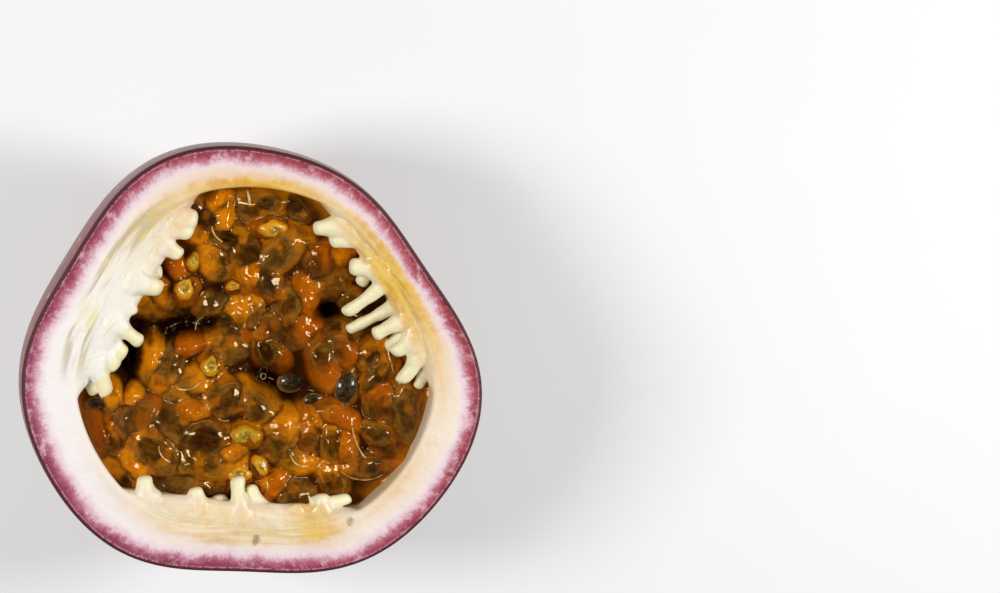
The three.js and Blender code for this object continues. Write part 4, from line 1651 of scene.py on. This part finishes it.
@dataclass
class Pulp:
    """The heap: bare seeds, young arils, threads and the sacs with the juice between them."""

    form: FruitForm
    layout: PulpLayout
    scatter: Scatter
    heap: Heap
    sides: int = 512
    wall_rings: int = 10
    top_rings: int = 150
    clearance: float = 0.8
    meniscus: float = 0.8
    meniscus_reach: float = 0.7
    reach: float = 0.4
    near_reach: float = 1.5
    thread_steps: int = 14
    bubble_steps: int = 24

    def body(self) -> Mesh:
        """A closed body that fills the hollow, and reaches a little into its wall.

        Returns:
            Its mesh.
        """
        form, heap, angle = self.form, self.heap, circle(self.sides)
        edge = polar(form.wall_radius(angle, form.pulp_z), angle, 0.0)
        edge_top = heap.height(edge[:, 0], edge[:, 1]) + self.meniscus
        bottom_z = form.floor_z() + self.clearance
        side_z = bottom_z + (edge_top - bottom_z) * np.linspace(0, 1, self.wall_rings)[:, None]
        side = polar(form.wall_radius(angle, side_z) + self.reach, angle, side_z)
        rim = form.wall_radius(angle, edge_top) + self.reach
        share = np.linspace(1, 0, self.top_rings)[1:-1, None]
        top = polar(rim * share, angle, 0.0)
        top[..., 2] = heap.height(top[..., 0], top[..., 1])
        top[..., 2] += self.meniscus * np.exp(-rim * (1 - share) / self.meniscus_reach)
        middle = np.zeros(1)
        start, end = (np.array([0.0, 0.0, z]) for z in (bottom_z, heap.height(middle, middle)[0]))
        return turned_mesh("sacs", form, np.vstack([side, top]), start, end)

    def seeds(self) -> None:
        """Makes the seeds that lie bare."""
        finish = SeedFinish().material()
        hand_in(self.scatter.spread("seeds", self.layout.bare(), self.form, seed_mesh(), finish), Part.PULP)

    def young(self) -> None:
        """Makes the young arils."""
        pips, finish = self.layout.young(), YoungArilFinish().material()
        hand_in(self.scatter.spread("young_arils", pips, self.form, young_mesh(), finish), Part.PULP)

    def sacs(self) -> None:
        """Makes the sacs and the juice between them as one wet skin."""
        mesh = self.body()
        x, y, z = from_frame(mesh, self.form).T
        inset = self.form.wall_radius(np.arctan2(y, x), z) - np.hypot(x, y)
        store(mesh, **self.heap.survey(x, y)[1], near=np.exp(-np.maximum(inset, 0) / self.near_reach))
        mesh.materials.append(SacFinish().material())
        hand_in(linked("sacs", mesh), Part.PULP)

    def thread(self, x: Array, y: Array, radius: float) -> Mesh:
        """A thin round thread on the sacs.

        Args:
            x: Places along its middle line.
            y: The same.
            radius: Its half thickness.

        Returns:
            A closed mesh.
        """
        rest = self.heap.height(x, y) + 0.4 * radius
        smooth = np.convolve(np.pad(rest, 2, "edge"), np.full(5, 0.2), "valid")
        middle = columns(x, y, smooth)
        side = np.cross(np.gradient(middle, axis=0), [0, 0, 1])
        side /= np.linalg.norm(side, axis=1, keepdims=True)
        around = circle(8)[:, None]
        rings = middle[:, None] + radius * (np.cos(around) * side[:, None] + np.sin(around) * [0, 0, 1])
        return turned_mesh("thread", self.form, rings, middle[0], middle[-1])

    def threads(self) -> None:
        """Makes the threads of membrane, a painted highlight line at the juice's meniscus, and the ring of a
        small bubble.
        """
        share = np.linspace(0, 1, self.thread_steps)
        weights = np.stack([(1 - share) ** 2, 2 * share * (1 - share), share**2])
        parts = [self.thread(*(np.array(points).T @ weights), radius) for *points, radius in THREADS]
        x, y, size, radius = BUBBLE
        turn = np.linspace(0, 2 * math.pi, self.bubble_steps)
        parts.append(self.thread(x + size * np.cos(turn), y + size * np.sin(turn), radius))
        mesh = joined_mesh("threads", parts)
        mesh.materials.append(ThreadAndHighlightFinish().material())
        hand_in(linked("threads", mesh), Part.PULP)

    def build(self) -> None:
        """Makes every piece of the pulp."""
        for make in (self.seeds, self.young, self.threads, self.sacs):
            make()


# ---- Studio ---------------------------------------------------------------------


@dataclass
class Studio:
    """Camera, lights and floor."""

    form: FruitForm
    distance: float = 420.0
    pixels_per_mm: float = 7.75
    picture: tuple[float, float] = (1000.0, 593.0)
    tilt: float = 10.0
    towards: float = 130.0
    target: tuple[float, float] = (-0.29, 1.426)
    target_pixel: tuple[float, float] = (250.0, 362.0)
    sensor: float = 36.0
    lamps: tuple[tuple[str, float, float], ...] = (("key_left", 40, 172), ("key_right", 52, 8))
    lamp_distance: float = 360.0
    lamp_size: tuple[float, float] = (80.0, 130.0)
    watts: float = 0.93
    sky_strength: float = 0.07
    floor_half_size: float = 3000.0

    def camera(self) -> None:
        """Looks down on the cut face from a little off its axis."""
        focal, (width, height) = self.pixels_per_mm * self.distance, self.picture
        back = way(self.tilt, self.towards)
        right = Vector((0, 1, 0)).cross(back).normalized()
        aim = Matrix((right, back.cross(right), back)).transposed()
        across, down = self.target_pixel
        offset = Vector(((across - width / 2) / focal, (height / 2 - down) / focal, -1.0)).normalized()
        turn = Vector((0, 0, -1)).rotation_difference(offset).to_matrix()
        place = self.form.axis_place() + Vector((*self.target, self.form.cut_z)) + back * self.distance
        data = bpy.data.cameras.new("camera")
        data.sensor_width = self.sensor
        data.lens = focal / width * self.sensor
        data.clip_start, data.clip_end = 0.01, 10.0
        camera = linked("camera", data)
        camera.matrix_world = Matrix.Translation(place * MM) @ (aim @ turn.transposed()).to_4x4()
        bpy.context.scene.camera = camera

    def lamp(self, name: str, tilt: float, turn: float) -> None:
        """A soft box that faces the cut.

        Args:
            name: The lamp's name.
            tilt: Its angle off straight above.
            turn: Its angle round the fruit.
        """
        data = bpy.data.lights.new(name, "AREA")
        data.shape = "RECTANGLE"
        data.size, data.size_y = (size * MM for size in self.lamp_size)
        data.energy = self.watts
        lamp = linked(name, data)
        towards = way(tilt, turn)
        lamp.location = (Vector((0, 0, self.form.cut_z)) + towards * self.lamp_distance) * MM
        lamp.rotation_euler = towards.to_track_quat("Z", "Y").to_euler()

    def floor(self) -> None:
        """A wide pale floor under the fruit."""
        size = self.floor_half_size * MM
        corners = [(-size, -size, 0), (size, -size, 0), (size, size, 0), (-size, size, 0)]
        mesh = bpy.data.meshes.new("floor")
        mesh.from_pydata(corners, [], [(0, 1, 2, 3)])
        mesh.materials.append(FloorFinish().material())
        linked("floor", mesh)

    def sky(self) -> None:
        """Even soft light from all round."""
        world = bpy.data.worlds.new("studio")
        world.use_nodes = True
        backdrop = world.node_tree.nodes["Background"]
        backdrop.inputs["Color"].default_value = WHITE
        backdrop.inputs["Strength"].default_value = self.sky_strength
        bpy.context.scene.world = world

    def build(self) -> None:
        """Sets everything up."""
        self.camera()
        self.floor()
        self.sky()
        for lamp in self.lamps:
            self.lamp(*lamp)
        bpy.context.scene.view_settings.view_transform = "Standard"


def main() -> None:
    logging.basicConfig(level=logging.INFO, format="%(name)s %(message)s")
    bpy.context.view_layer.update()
    form = FruitForm()
    Studio(form).build()
    Rind(form).build()
    Funicles(form).build()
    layout = PulpLayout(form)
    Pulp(form, layout, Scatter("spread_pips"), Heap(form, layout)).build()


if __name__ == "__main__":
    main()
